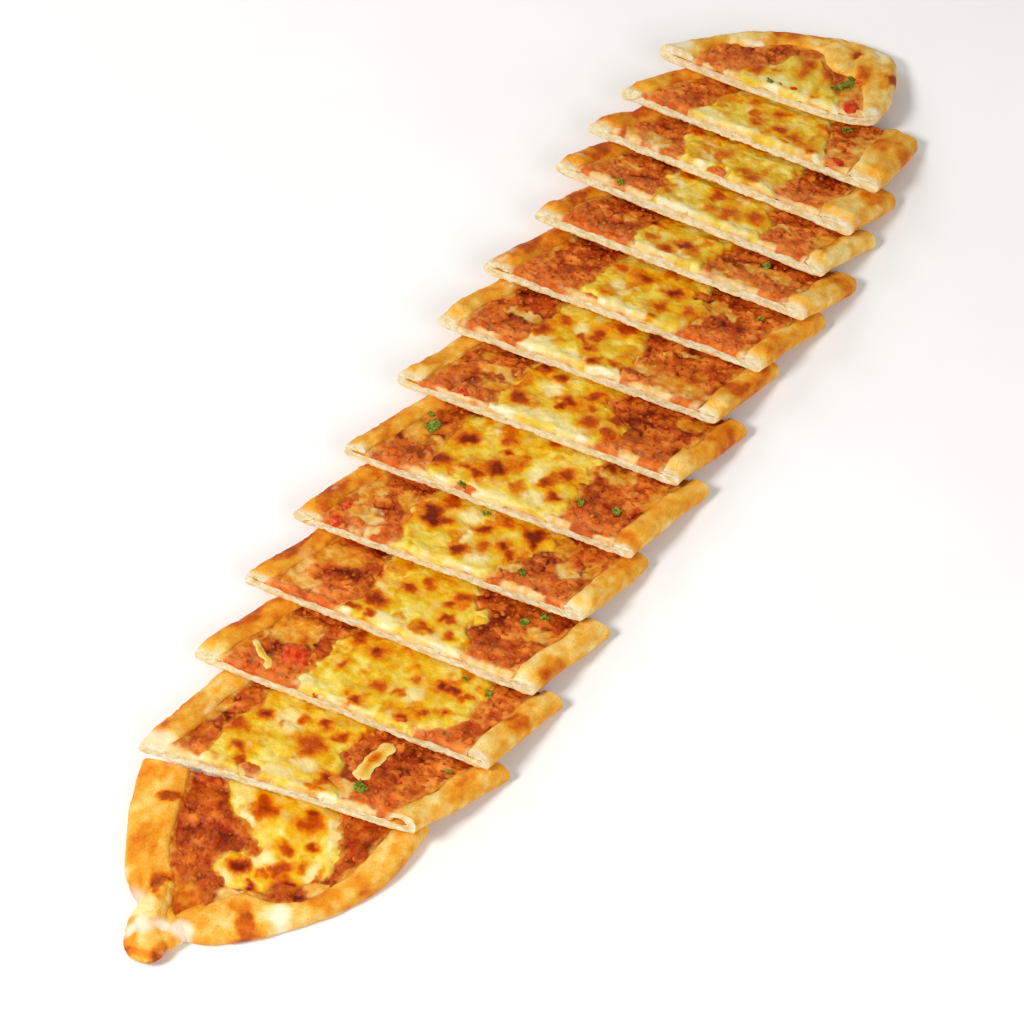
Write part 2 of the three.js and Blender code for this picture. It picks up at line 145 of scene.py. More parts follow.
LAST_INNER = (
    (-48.5, -52), (-41.4, -50), (-32.5, -45.7), (-25.5, -38.5), (-25.5, -33), (-25, -28),
    (-22, -22), (-14.5, -16), (-14.8, -10), (-16.8, -1), (-20.8, 6.6), (-24.7, 11.5),
    (-27.5, 19), (-29.5, 26.5), (-34.5, 32.3), (-40, 34), (-48.5, 37),
)
LAST_CHEESE_LEFT = (
    (-48.5, 13.5), (-40, 12.5), (-35, 6.5), (-30, 1), (-26, -4), (-22.5, -10), (-22, -16),
)
LAST_CHEESE_RIGHT = (
    (-48.5, -42), (-40, -38.7), (-33.7, -34), (-29.7, -28.4), (-24, -22), (-22, -16),
)
# Each pointed end: outer and inner edge of its rim, left and right edge of its cheese, and
# which way its cut faces.
POINTED_ENDS = {
    1: (FIRST_OUTER, FIRST_INNER, FIRST_CHEESE_LEFT, FIRST_CHEESE_RIGHT, 1),
    SLICES: (LAST_OUTER, LAST_INNER, LAST_CHEESE_LEFT, LAST_CHEESE_RIGHT, -1),
}
# How far the last slice's near cut bows out, from its right end to its left end.
LAST_BOW = ((-61, 0), (-56, 4), (-48, 8), (-35, 10), (-10, 9.5), (15, 8.5), (38, 6.5), (56, 4.5))
BOW_START = 14            # distance from the far edge at which the bow starts
# Flaps of dough that are folded over the rim, as outlines.
FLAPS = {
    14: (((-13, -15), (-22, -22.5), (-26, -31), (-23, -35), (-8, -30), (-5, -20)),
         ((-24, -36), (-25, -41), (-18, -47), (-6, -43), (-4.5, -37), (-12, -34))),
}
FLAP_HEIGHT = 1.2

# The knot at the tip: strands of dough, each as places with half widths and half heights.
KNOT_STRANDS = (
    ((-58, 37.5, 5.2, 5.0, 4.2), (-65, 37.5, 6.0, 6.2, 4.9), (-72, 38, 6.3, 7.6, 5.4),
     (-79, 37.5, 6.2, 9.2, 5.8), (-85.5, 36, 5.8, 9.8, 5.7)),
    ((-66, 18, 4.2, 4.6, 4.2), (-73, 24, 4.6, 6.4, 4.5), (-80, 30, 5.0, 7.6, 4.9)),
)

# Browned spots on each slice: across (y), along (x), how wide and how dark.
BROWN_SPOTS = {
    1: ((7, -10, 12, 0.8), (-13, -13, 11, 0.7), (-12, -8, 6, 0.9), (-7, -27, 8, 0.8),
        (-19, -25, 6, 0.9), (-8, -38, 10, 0.75), (10, -42, 10, 1.1), (-17, -34, 6, 0.4),
        (-2, -42, 6, 0.5), (-12, -47, 12, 1.1), (2, -50, 5, 1.1), (27, -65, 16, 0.5)),
    2: ((5, -28, 14, 0.65), (9, -14, 7, 0.8), (0, -18, 7, 0.9), (34, -23, 7, 1.0),
        (38, -33, 9, 0.6), (27, -46, 7, 0.75), (22, -52, 6, 0.7), (-13, -45, 9, 0.7),
        (-15, -53, 9, 0.7), (-8, -12, 6, 0.7), (18, -16, 6, 0.5)),
    3: ((10, -13, 9, 1.0), (22, -9, 8, 0.8), (-25, -18, 9, 1.1), (-31, -20, 7, 1.0),
        (15, -28, 7, 0.55), (-4, -32, 8, 0.5), (-15, -33, 5, 0.55), (-30, -37, 7, 0.65),
        (-39, -33, 5, 0.6), (-4, -46, 8, 0.8), (-25, -46, 7, 0.75), (-37, -21, 7, 0.5),
        (-16, -22, 5, 0.45)),
    4: ((33, -17, 8, 1.1), (29, -21, 7, 0.9), (12, -23, 8, 0.85), (7, -15, 7, 0.65),
        (-10, -17, 9, 0.7), (-10, -24, 6, 0.8), (-15, -33, 6, 0.85), (17, -37, 12, 0.85),
        (22, -47, 7, 0.85), (12, -49, 7, 0.8), (-12, -43, 8, 0.65), (-22, -42, 6, 0.5),
        (54, -45, 7, 0.5)),
    5: ((25, -18, 12, 1.2), (21, -24, 12, 1.5), (15, -23, 8, 0.9), (21, -9, 10, 0.7),
        (-6, -11, 9, 0.65), (-1, -19, 6, 0.95), (-21, -12, 11, 1.25), (-24, -17, 8, 1.1),
        (-17, -27, 7, 1.0), (-23, -30, 7, 0.85), (-3, -37, 8, 0.85), (-9, -31, 8, 0.5)),
    6: ((33, -26, 11, 1.25), (18, -16, 8, 0.65), (13, -25, 5, 0.9), (9, -38, 14, 1.2),
        (13, -46, 8, 0.85), (32, -43, 11, 0.95), (46, -42, 10, 1.1), (2, -9, 6, 0.6),
        (4, -22, 6, 0.4), (-18, -26, 8, 0.85), (-14, -36, 7, 0.7), (-22, -42, 8, 0.95),
        (-5, -43, 7, 0.35), (20, -44, 6, 0.75)),
    7: ((24, -10, 8, 1.1), (14, -13, 8, 1.0), (-5, -18, 9, 0.85), (1, -27, 8, 1.0),
        (2, -31, 6, 0.9), (18, -38, 10, 1.0), (-25, -28, 8, 0.8), (-17, -37, 10, 0.65),
        (-28, -40, 8, 0.65), (29, -43, 8, 0.85), (-12, -28, 6, 0.5)),
    8: ((25, -22, 9, 0.55), (28, -33, 10, 0.8), (7, -22, 8, 0.85), (6, -26, 6, 0.8),
        (3, -35, 8, 0.7), (0, -13, 8, 0.75), (-5, -43, 8, 0.95), (-14, -40, 7, 0.6),
        (9, -31, 6, 0.5)),
    9: ((9, -20, 8, 1.0), (-9, -23, 11, 1.1), (23, -18, 9, 0.6), (-10, -36, 9, 0.65),
        (-23, -33, 9, 0.45), (-10, -48, 7, 0.8), (3, -10, 7, 0.5), (14, -42, 6, 0.4)),
    10: ((26, -15, 10, 1.15), (2, -26, 9, 1.1), (6, -36, 9, 0.7), (-17, -21, 9, 0.85),
         (18, -30, 6, 0.45), (-20, -33, 9, 0.7)),
    11: ((2, -17, 8, 0.95), (1, -22, 6, 0.7), (22, -10, 7, 0.65), (-14, -32, 11, 0.6),
         (-24, -26, 9, 0.7), (18, -33, 6, 0.45), (-4, -31, 7, 0.35)),
    12: ((34, -12, 9, 0.8), (23, -8, 7, 0.75), (10, -24, 9, 0.5), (-14, -36, 11, 0.8),
         (-6, -31, 9, 0.55), (38, -24, 5, 1.2)),
    13: ((17, -18, 8, 0.55), (2, -21, 9, 0.95), (8, -30, 8, 0.5), (4, -36, 8, 0.95),
         (-8, -36, 8, 0.85), (-17, -38, 8, 0.7), (-30, -44, 9, 0.95), (-22, -21, 7, 0.45),
         (-15, -45, 7, 0.7)),
    14: ((8.6, -41.9, 9, 0.75), (-8.8, -27.5, 8, 0.75), (-10.3, -33, 7, 0.45),
         (-21.3, -27.8, 9, 0.85), (-25.4, -47.5, 5, 0.6), (1, -36, 5, 0.4)),
}
# Lobes of cheese beside its band: across (y), along (x), and how far they reach both ways.
LOBES = {
    4: ((-24, -22, 7, 14),),
    8: ((-25, -19, 3, 3),),
    9: ((-60, -43, 4, 4),),
}
# Bare patches in the cheese, where the mince shows: across, along and reach both ways.
BARE = {
    2: ((14, -54, 11, 8), (-13, -21, 9, 17)),
    3: ((10, -50, 7, 5), (0, -51, 8, 4)),
    4: ((-18, -12, 9, 8), (38, -34, 15, 14)),
    6: ((-28, -26, 5, 5), (12, -54, 16, 4)),
    8: ((-23, -42, 7, 12),),
    9: ((18, -48, 11, 9), (-17, -17, 6, 10)),
    12: ((2, -38, 11, 7), (14, -40, 9, 4)),
    13: ((-34, -33, 6, 12),),
}
# Smooth films of oil and thin cheese over the mince: across (y), along (x), how far they
# reach both ways, and how roasted they are, from cream 0 to brown 1.
FILMS = {
    1: ((26, -64, 20, 24, 0.6), (31, -64, 11, 14, 0.65), (-24, -43, 12, 8, 0.35),
        (8, -56, 18, 8, 0.3)),
    2: ((50, -28, 9, 8, 0.45), (-22, -44, 10, 8, 0.3), (47, -46, 7, 12, 0.7)),
    3: ((46, -18, 20, 24, 0.5), (37, -20, 5, 12, 0.4), (57, -20, 5, 22, 0.5),
        (-36, -9, 12, 8, 0.35)),
    4: ((50, -18, 28, 19, 0.48), (57, -32, 9, 20, 0.35), (49, -42, 16, 13, 0.28),
        (55, -46, 7, 6, 0.7), (-50, -20, 12, 10, 0.3)),
    5: ((54, -18, 12, 24, 0.3), (38, -20, 9, 14, 0.35), (44, -36, 19, 10, 0.26),
        (36, -44, 9, 8, 0.3), (57, -35, 5, 6, 0.75), (-36, -12, 10, 16, 0.5),
        (-47, -26, 14, 12, 0.26), (-57, -22, 7, 16, 0.5), (-26, -35, 12, 10, 0.25)),
    6: ((55, -27, 22, 17, 0.42), (47, -42, 12, 9, 0.95), (62, -38, 7, 14, 0.35),
        (26, -48, 20, 6, 0.35), (-35, -14, 18, 13, 0.45), (-57, -20, 7, 24, 0.5),
        (-27, -45, 7, 14, 0.2), (40, -33, 9, 8, 0.4)),
    7: ((38, -24, 21, 8, 0.25), (53, -14, 9, 12, 0.45), (58, -35, 6, 18, 0.5),
        (34, -33, 14, 8, 0.5), (-50, -13, 14, 10, 0.5), (-38, -36, 14, 8, 0.9)),
    8: ((42, -28, 15, 5, 0.25), (-33, -13, 12, 6, 0.35), (-47, -40, 30, 15, 0.42),
        (-47, -25, 6, 8, 0.6), (-26, -33, 8, 12, 0.4)),
    9: ((55, -22, 6, 24, 0.5), (-30, -20, 9, 14, 0.4), (-36, -24, 8, 8, 0.26),
        (-28, -36, 8, 10, 0.4)),
    10: ((38, -20, 9, 11, 0.42), (-38, -22, 26, 9, 0.38), (-22, -31, 10, 12, 0.45)),
    11: ((56, -22, 6, 18, 0.5), (47, -22, 8, 8, 0.42), (-34, -24, 12, 6, 0.25),
         (-58, -22, 8, 18, 0.5)),
    12: ((38, -33, 14, 10, 0.3), (50, -34, 8, 12, 0.45), (-22, -24, 8, 16, 0.3)),
    13: ((56, -40, 6, 16, 0.6), (-44, -22, 14, 24, 0.35), (-40, -38, 8, 10, 0.4)),
    14: ((-36, -34, 9, 26, 0.45), (-16, -18, 14, 8, 0.5), (28, -50, 10, 6, 0.35)),
}
# Pale patches of the cheese: across, along and reach both ways.
PALE = {
    1: ((-25, -14, 6, 22), (14, -47, 10, 8), (12, -14, 14, 16), (-22, -36, 8, 14),
        (2, -35, 12, 8)),
    2: ((22, -20, 14, 16), (4, -52, 12, 8), (-2, -42, 14, 10)),
    3: ((20, -46, 10, 9), (-8, -50, 18, 6), (-20, -30, 10, 10)),
    4: ((5, -46, 16, 8), (-14, -50, 12, 5), (22, -30, 8, 12)),
    5: ((8, -15, 10, 12), (-12, -38, 14, 12), (2, -28, 8, 10)),
    6: ((25, -10, 10, 10), (-8, -32, 9, 12), (-16, -46, 12, 9)),
    7: ((3, -44, 26, 10), (10, -24, 8, 12)),
    8: ((22, -42, 14, 12), (4, -44, 12, 8), (14, -24, 8, 10)),
    9: ((4, -46, 16, 9), (12, -32, 14, 10)),
    10: ((14, -38, 12, 8), (-2, -34, 8, 10)),
    11: ((20, -21, 9, 9), (0, -39, 16, 5), (-8, -14, 8, 8)),
    12: ((12, -28, 16, 9), (20, -18, 8, 8)),
    13: ((24, -42, 16, 7), (0, -44, 12, 6), (12, -28, 8, 8)),
    14: ((0, -45, 20, 6), (-6, -42, 12, 6)),
}
# How baked the left and the right crust of each slice are, from pale 0 to dark 1.
CRUST_TONE = (
    (0.42, 0.37), (0.44, 0.38), (0.57, 0.42), (0.57, 0.32), (0.57, 0.42), (0.53, 0.44),
    (0.48, 0.48), (0.32, 0.42), (0.60, 0.44), (0.58, 0.44), (0.58, 0.34), (0.56, 0.42),
    (0.46, 0.40), (0.42, 0.36),
)
# Patches of the crust: across, along, reach both ways and how much more baked.
CRUST_PATCHES = {
    1: ((50, -17, 12, 6, 0.6), (38, -57, 9, 12, 0.6), (52, -38, 12, 22, 0.2),
        (48, -62, 12, 14, 0.2), (60, -12, 8, 20, 0.12), (42, -70, 12, 12, -0.4),
        (-3, -68, 12, 16, 0.55), (3, -60, 16, 9, 0.3), (12, -70, 22, 5, -0.12),
        (42, -90, 7, 7, 0.2), (29, -90, 8, 8, 0.35), (34, -82, 9, 8, 0.1), (38, -93, 18, 4, 0.3),
        (38, -75, 12, 9, -0.15), (46, -69, 5, 8, 0.3),
        (-14, -60, 12, 12, -0.6), (-28, -46, 22, 14, 0.35), (-40, -35, 16, 12, 0.25),
        (-52, -16, 16, 9, 0.12), (56, -4, 14, 9, 0.1)),
    2: ((66, -30, 5, 40, 0.2), (58, -52, 8, 12, 0.35), (-62, -20, 12, 22, 0.2),
        (-60, -40, 14, 12, 0.08), (-66, -48, 9, 18, -0.15)),
    3: ((68, -22, 10, 30, 0.25), (60, -46, 12, 12, -0.3), (-65, -24, 14, 12, 0.3),
        (-61, -21, 6, 8, 0.25), (-64, -45, 10, 12, -0.2)),
    4: ((69, -25, 7, 30, 0.28), (61, -40, 7, 20, -0.12), (-70, -37, 10, 18, 0.35),
        (-62, -20, 10, 30, -0.1)),
    5: ((66, -30, 8, 40, 0.1), (-68, -8, 14, 14, 0.12), (-65, -42, 14, 14, -0.2)),
    6: ((70, -30, 8, 30, 0.16), (66, -12, 8, 18, -0.16), (-67, -52, 14, 10, 0.35),
        (-64, -30, 12, 24, -0.06)),
    7: ((66, -30, 8, 26, 0.28), (62, -45, 8, 12, -0.25), (-66, -12, 12, 22, 0.25),
        (-66, -38, 14, 22, -0.16)),
    8: ((66, -20, 9, 20, 0.1), (-65, -26, 12, 12, 0.32), (-70, -14, 8, 14, 0.15)),
    9: ((66, -28, 9, 24, 0.18), (-66, -32, 10, 14, 0.16), (-68, -46, 12, 10, -0.2)),
    10: ((66, -18, 9, 22, 0.16), (-66, -8, 14, 10, 0.25), (-64, -28, 12, 18, -0.14)),
    11: ((64, -22, 10, 18, 0.18), (-61, -22, 5, 34, 0.3), (-68, -24, 10, 30, -0.16)),
    12: ((62, -16, 12, 16, 0.24), (-60, -12, 18, 14, 0.4), (-62, -32, 18, 14, -0.12)),
    13: ((58, -18, 10, 18, 0.1), (-58, -14, 12, 14, 0.25), (-48, -18, 10, 12, 0.25),
         (-54, -36, 12, 14, -0.16)),
    14: ((20, -8, 26, 12, 0.25), (2, -4, 18, 8, 0.3), (30, -24, 12, 8, -0.3),
         (-20, -10, 6, 14, 0.4), (-36, -26, 10, 20, 0.45), (-46, -24, 8, 14, 0.3),
         (-30, -6, 12, 9, -0.25), (44, -44, 10, 12, -0.2), (-22, 4, 20, 6, 0.5),
         (-21, -10, 5, 5, 0.4), (-47, -20, 8, 6, 0.35)),
}
# White flour left on the crust: across, along, reach both ways.
FLOUR = {
    1: ((49, -69, 12, 13), (23, -78, 10, 8), (39, -80, 12, 9), (-14, -60, 9, 10),
        (31, -77, 9, 7), (44, -84, 6, 8)),
    14: ((48, -44, 9, 12), (22, -24, 16, 3), (-58, -50, 9, 9), (-30, -3, 12, 5)),
}
# Herbs and bits of tomato: slice, across (y), along (x), size.
HERBS = (
    (2, -29, -43, 5.5), (2, -50, -15, 3.5), (3, -44, -13, 4), (4, -40, -16, 4.5),
    (4, -45, -9, 4.5), (5, -34, -38, 4.5), (6, 51, -24, 7), (6, 57, -17, 3.5),
    (6, -34, -39, 4.5), (6, -50, -36, 4), (6, 14, -54, 4), (9, -49, -18, 4),
    (10, -33, -16, 4), (11, 38, -40, 4), (13, -29, -14, 6), (14, -31, -33, 6),
    (14, -33, -31, 5), (14, -29, -36, 4), (14, -31, -27, 4), (14, -3, -46, 4),
    (5, 5, -9, 3.5), (3, -30, -10, 3),
)
TOMATO = ((3, 34, -33, 12), (13, -43, -42, 6), (5, 51, -47, 5), (5, 55, -35, 4),
          (7, 40, -46, 5), (14, -44.5, -45, 7), (14, -15, -46.5, 4.5), (14, -37, -27, 6),
          (14, -8, -46.5, 4), (3, -28, -48, 4))
# Loose shreds of cheese: slice, route, width and how roasted their tops are.
SHREDS = (
    (3, ((55, -33), (51, -36), (45, -40.5), (41, -42), (38, -47)), 3.6, 0.25),
    (2, ((-20, -11), (-20.5, -20), (-22, -30), (-24.5, -38)), 8.0, 0.5),
)
SHRED_LIFT = 0.5          # from what a shred lies on to its middle
SHRED_THICK = 1.3

# ---- Resolution ----

ROW_STEP = 1.25           # dough, along the slice
ACROSS_STEP = 0.62        # dough, across the slice
LIP_SAMPLES = 22          # from a rim's lip to its outer edge
EDGE_SAMPLES = 13         # from the outer edge to the base
CRUMB_ROWS = 8            # through the dough, on a cut
MINCE_STEP = 0.62
UNDER_RIM = 0.9           # how far a pointed end's filling reaches under the rim
SHORT_OF_TIP = 0.496      # where a pointed filling's two sides are joined
CHEESE_GRID = 0.62
POINTED_STEP = 1.6        # along the rim of a pointed end
POINTED_ROWS = {1: 110, SLICES: 70}    # of a pointed end's filling, from its cut to its tip
POINTED_COLUMNS = 150     # across that filling
HOLLOW_SAMPLES = 90       # round the hollow of a pointed end
BAND_SAMPLES = 40         # along each edge of a pointed end's cheese
HOLLOW_ROWS = 12          # along each rim of a full slice
BAND_ROWS = 24            # along each edge of a full slice's cheese
BROAD_RIM = 12            # what the steps across the base leave out at each side
KNOT_STEPS = 9            # lumps along each strand of the knot
KNOT_VOXEL = 0.7          # of the skin round the knot's strands
KNOT_SMOOTHING = 7        # how often that skin is smoothed
SHARP = math.radians(62)  # edges that turn by more than this stay sharp


# ---- Noise ----

def scatter_number(*whole):
    """A number from 0 to 1 for each set of whole numbers."""
    mixed = np.zeros(np.broadcast(*whole).shape, np.uint64)
    for value, prime in zip(whole, (374761393, 668265263, 2147483647, 1274126177)):
        mixed = mixed * np.uint64(31) + np.asarray(value).astype(np.int64).astype(np.uint64)
        mixed = (mixed * np.uint64(prime)) & np.uint64(0xFFFFFFFF)
        mixed = mixed ^ (mixed >> np.uint64(15))
    return (mixed & np.uint64(0xFFFFF)).astype(float) / 0xFFFFF


def lumps(points, size, seed):
    """Smooth noise between -1 and 1 with lumps of about that size."""
    place = np.asarray(points, float) / size + 11.7 * seed
    cell = np.floor(place).astype(np.int64)
    share = place - cell
    share = share * share * (3 - 2 * share)
    total = np.zeros(len(place))
    for corner in itertools.product((0, 1), repeat=place.shape[1]):
        weight = np.prod(np.where(corner, share, 1 - share), axis=1)
        total += weight * scatter_number(*(cell + corner).T, seed)
    return 2 * total - 1


def cells(points, size, seed):
    """Distance to the nearest of scattered points, in shares of size, and its number."""
    place = np.asarray(points, float) / size
    cell = np.floor(place).astype(np.int64)
    nearest = np.full(len(place), 9.0)
    number = np.zeros(len(place))
    for step in itertools.product((-1, 0, 1), repeat=2):
        i, j = (cell + step).T
        dx = i + scatter_number(i, j, seed) - place[:, 0]
        dy = j + scatter_number(i, j, seed + 50) - place[:, 1]
        away = np.hypot(dx, dy)
        closer = away < nearest
        nearest = np.where(closer, away, nearest)
        number = np.where(closer, scatter_number(i, j, seed + 90), number)
    return nearest, number


def wander(points, size, seed):
    """A sideways shift that changes slowly over the plan."""
    return np.stack([lumps(points, size, seed), lumps(points, size, seed + 1)], axis=1)


def wandered(points, seed, *shifts):
    """Points of the plan, moved by slow shifts, each given as how far and over what size."""
    moved = points
    for step, (far, size) in enumerate(shifts):
        moved = moved + far * wander(points, size, seed + 2 * step)
    return moved


def ease(low, high, value):
    """0 below low, 1 above high and a smooth step in between."""
    share = np.clip((value - low) / (high - low), 0, 1)
    return share * share * (3 - 2 * share)


def wave(seed, t):
    """A slow, uneven wave between -1 and 1 that differs for each seed."""
    return 0.65 * np.sin(5.1 * t + 2.39 * seed) + 0.35 * np.sin(11.7 * t + 4.77 * seed)


# ---- Curves ----

def curve(points, shares):
    """Points of the smooth curve through the given ones, at shares from 0 to 1."""
    p = np.array(points, float)
    ends = np.vstack([2 * p[0] - p[1], p, 2 * p[-1] - p[-2]])
    place = np.clip(shares, 0, 1) * (len(p) - 1)
    i = np.minimum(place.astype(int), len(p) - 2)
    w = (place - i)[:, None]
    before, start, end, after = ends[i], ends[i + 1], ends[i + 2], ends[i + 3]

    def root_gap(a, b):
        return np.maximum(np.linalg.norm(b - a, axis=1, keepdims=True) ** 0.5, 1e-4)

    d0, d1, d2 = root_gap(before, start), root_gap(start, end), root_gap(end, after)
    leave = ((start - before) / d0 - (end - before) / (d0 + d1) + (end - start) / d1) * d1
    arrive = ((end - start) / d1 - (after - start) / (d1 + d2) + (after - end) / d2) * d1
    square = 3 * (end - start) - 2 * leave - arrive
    cube = 2 * (start - end) + leave + arrive
    return start + leave * w + square * w ** 2 + cube * w ** 3


def evenly(points, count):
    """The smooth curve through the points, as that many points with even steps."""
    dense = curve(points, np.linspace(0, 1, 12 * len(points)))
    run = np.concatenate([[0], np.cumsum(np.linalg.norm(np.diff(dense, axis=0), axis=1))])
    wanted = np.linspace(0, run[-1], count)
    return np.stack([np.interp(wanted, run, column) for column in dense.T], axis=1)


def along(values, t):
    """A list of values at even places, read with a smooth curve."""
    points = [(i, value) for i, value in enumerate(values)]
    return curve(points, np.asarray(t, float))[:, 1]


def heading(line):
    """Unit direction along a line of points."""
    run = np.gradient(line, axis=0)
    return run / np.linalg.norm(run, axis=1, keepdims=True)


def inside(points, outline):
    """How far each point lies inside a closed outline; negative when outside."""
    start = np.array(outline, float)
    run = np.roll(start, -1, axis=0) - start
    away = np.full(len(points), 1e9)
    within = np.zeros(len(points), bool)
    for (x0, y0), (dx, dy) in zip(start, run):
        px, py = points[:, 0] - x0, points[:, 1] - y0
        share = np.clip((px * dx + py * dy) / max(dx * dx + dy * dy, 1e-9), 0, 1)
        away = np.minimum(away, np.hypot(px - share * dx, py - share * dy))
        if abs(dy) > 1e-9:
            crosses = (py < 0) != (py < dy)
            within ^= crosses & (px < py * dx / dy)
    return np.where(within, away, -away)


# ---- The slices ----

class Slice:
    """Sizes of one slice and where it lies in the row."""

    def __init__(self, number):
        i = number - 2
        first = number == 1
        self.number = number
        self.width = 0 if first else WIDTH[i]
        self.wedge = math.tan(math.radians(SECOND_WEDGE)) if number == 2 else 0
        self.slip = 0 if first else EDGE_SLIP
        halves = NARROW_HALVES.get(number, (HALF_LENGTH, FAR_HALF))
        self.near_half, self.far_half = (0, FIRST_HALF) if first else halves
        self.pointed = number in (1, SLICES)
        if not self.pointed:
            self.rim_left, self.rim_right = RIM_LEFT[i], RIM_RIGHT[i]
        self.pose(0)

    def pose(self, tilt):
        i = self.number - 2
        if i < 0:
            x, y, turn = FIRST_CUT
            place, turn = (x, y, 0), math.radians(turn)
        else:
            turn = math.radians(CUT_BIAS + TURN[i])
            run = self.width * math.cos(tilt)
            start = ROW_START + sum(PITCH[:i])
            place = (start + run * math.cos(turn), SIDE_STEP[i] + run * math.sin(turn), 0)
        self.turning = np.array(Euler((0, tilt, turn), "XYZ").to_matrix())
        self.origin = np.array(place)

    def place(self, t, y, z):
        """Points at t from the near cut, 0, to the far cut, 1."""
        x = -(1 - t) * (self.width + self.wedge * y)
        parts = np.broadcast_arrays(x, y - self.slip * self.width * t, z)
        return np.stack(parts, axis=-1).astype(float)

    def marked(self, y, x):
        """A marked place, whose y is measured from the slanting middle line."""
        t = 1 + x / self.width if self.width else 1
        return np.array((x, y - self.slip * self.width * t))

    def half_at(self, t):
        """Half of the slice's length at t from the near cut, 0, to the far cut, 1."""
        return self.near_half + (self.far_half - self.near_half) * t

    def from_cut(self, flat):
        """Distance from the open near cut, and a large one where there is none."""
        if self.number == 1:
            return np.full(len(flat), NO_CUT)
        return flat[:, 0] + self.width + self.wedge * flat[:, 1]

    def to_row(self, points):
        return points @ self.turning.T + self.origin

    def from_row(self, points):
        return (points - self.origin) @ self.turning

    def in_metres(self, points):
        """From the slice's own millimetres to metres in the shared frame."""
        return (self.to_row(self.bowed(points)) - ROW_MIDDLE) * MM

    def bowed(self, points):
        """Carries the last slice's near cut outwards in a bow."""
        if self.number < SLICES:
            return points
        across, reach = np.array(LAST_BOW).T
        moved = np.array(points, float)
        share = ease(BOW_START, self.width, -moved[..., 0])
        moved[..., 0] -= share * np.interp(moved[..., 1], across, reach)
        return moved


def patch_distance(piece, moved, y, x, across, onward):
    """Distance from a marked place; it is 1 at the rim of a patch of that size."""
    away = (moved - piece.marked(y, x)) / (0.5 * onward, 0.5 * across)
    return np.linalg.norm(away, axis=1)


def patch_mask(piece, flat, patches, ragged=1.5):
    """1 in the middle of any of the patches, 0 outside them all."""
    mask = np.zeros(len(flat))
    if not patches:
        return mask
    moved = wandered(flat, 400, (ragged, 6), (0.4 * ragged, 2.2))
    for y, x, across, onward, *_ in patches:
        away = patch_distance(piece, moved, y, x, across, onward)
        mask = np.maximum(mask, 1 - ease(0.45, 1.35, away))
    return mask


def clears(piece, before):
    """Whether a slice lies clear of the one before it."""
    for side in (1, -1):
        crown = (0, side * (before.far_half - CORNER_INSET) - before.slip * before.width, RIM_FAR)
        under = piece.from_row(before.to_row(np.array(crown)))
        y = side * (piece.near_half - CORNER_INSET)
        corner = np.array((-piece.width - piece.wedge * y, y, 0))
        rest = before.from_row(piece.to_row(corner))
        in_reach = under[0] > -piece.width - piece.wedge * under[1] - NEARLY
        if in_reach and under[2] >= -LEAN_GAP:
            return False
        if rest[0] <= NEARLY and rest[2] <= RIM_FAR + LEAN_GAP:
            return False
    return True


def lay_slices():
    """All slices, each tilted until it lies clear on the one before."""
    row = [Slice(1)]
    for number in range(2, SLICES + 1):
        piece = Slice(number)
        steps = 0
        while not clears(piece, row[-1]):
            steps += 1
            piece.pose(math.radians(TILT_STEP) * steps)
        row.append(piece)
    return row


# ---- Meshes ----

def quads_of(number):
    """The faces of a grid, from the numbers of its points."""
    corners = [number[:-1, :-1], number[:-1, 1:], number[1:, 1:], number[1:, :-1]]
    return np.stack([corner.ravel() for corner in corners], axis=1)


class Shell:
    """Collects points, faces and marks, and makes one closed mesh of them."""

    def __init__(self):
        self.points, self.faces, self.marks, self.count = [], [], {}, 0

    def add(self, points, faces, **marks):
        points = np.asarray(points, float).reshape(-1, 3)
        for name in {**self.marks, **marks}:
            column = self.marks.setdefault(name, [np.zeros(self.count)])
            value = marks.get(name, 0.0)
            column.append(np.broadcast_to(np.asarray(value, float).ravel(), len(points)))
        self.points.append(points)
        self.faces += [np.asarray(face) + self.count for face in faces]
        self.count += len(points)

    def grid(self, points, **marks):
        """points is rows by columns by 3."""
        rows, columns = points.shape[:2]
        number = np.arange(rows * columns).reshape(rows, columns)
        self.add(points, [quads_of(number)], **marks)

    def mesh(self, name, in_metres, weld=1e-3):
        """Merges points closer than weld, in mm, and turns all faces outwards."""
        points = np.concatenate(self.points)
        keys = np.round(points / weld).astype(np.int64)
        _, first, back = np.unique(keys, axis=0, return_index=True, return_inverse=True)
        back = back.ravel()
        loops, starts, total = [], [], 0
        for block in self.faces:
            block = back[np.atleast_2d(block)]
            kept = block != np.roll(block, 1, axis=1)
            sides = kept.sum(axis=1)
            for size in np.unique(sides[sides > 2]):
                chosen = sides == size
                flat = block[chosen][kept[chosen]]
                loops.append(flat)
                starts.append(total + np.arange(chosen.sum()) * size)
                total += len(flat)
        mesh = bpy.data.meshes.new(name)
        mesh.vertices.add(len(first))
        mesh.vertices.foreach_set("co", in_metres(points[first]).astype(np.float32).ravel())
        mesh.loops.add(total)
        mesh.loops.foreach_set("vertex_index", np.concatenate(loops).astype(np.int32))
        starts = np.concatenate(starts).astype(np.int32)
        mesh.polygons.add(len(starts))
        mesh.polygons.foreach_set("loop_start", starts)
        mesh.update(calc_edges=True)
        mesh.validate()
        for mark, column in self.marks.items():
            layer = mesh.attributes.new(mark, "FLOAT", "POINT")
            layer.data.foreach_set("value", np.concatenate(column)[first].astype(np.float32))
        turn_outwards(mesh)
        return mesh


def turn_outwards(mesh):
    shape = bmesh.new()
    shape.from_mesh(mesh)
    bmesh.ops.recalc_face_normals(shape, faces=shape.faces)
    shape.to_mesh(mesh)
    shape.free()


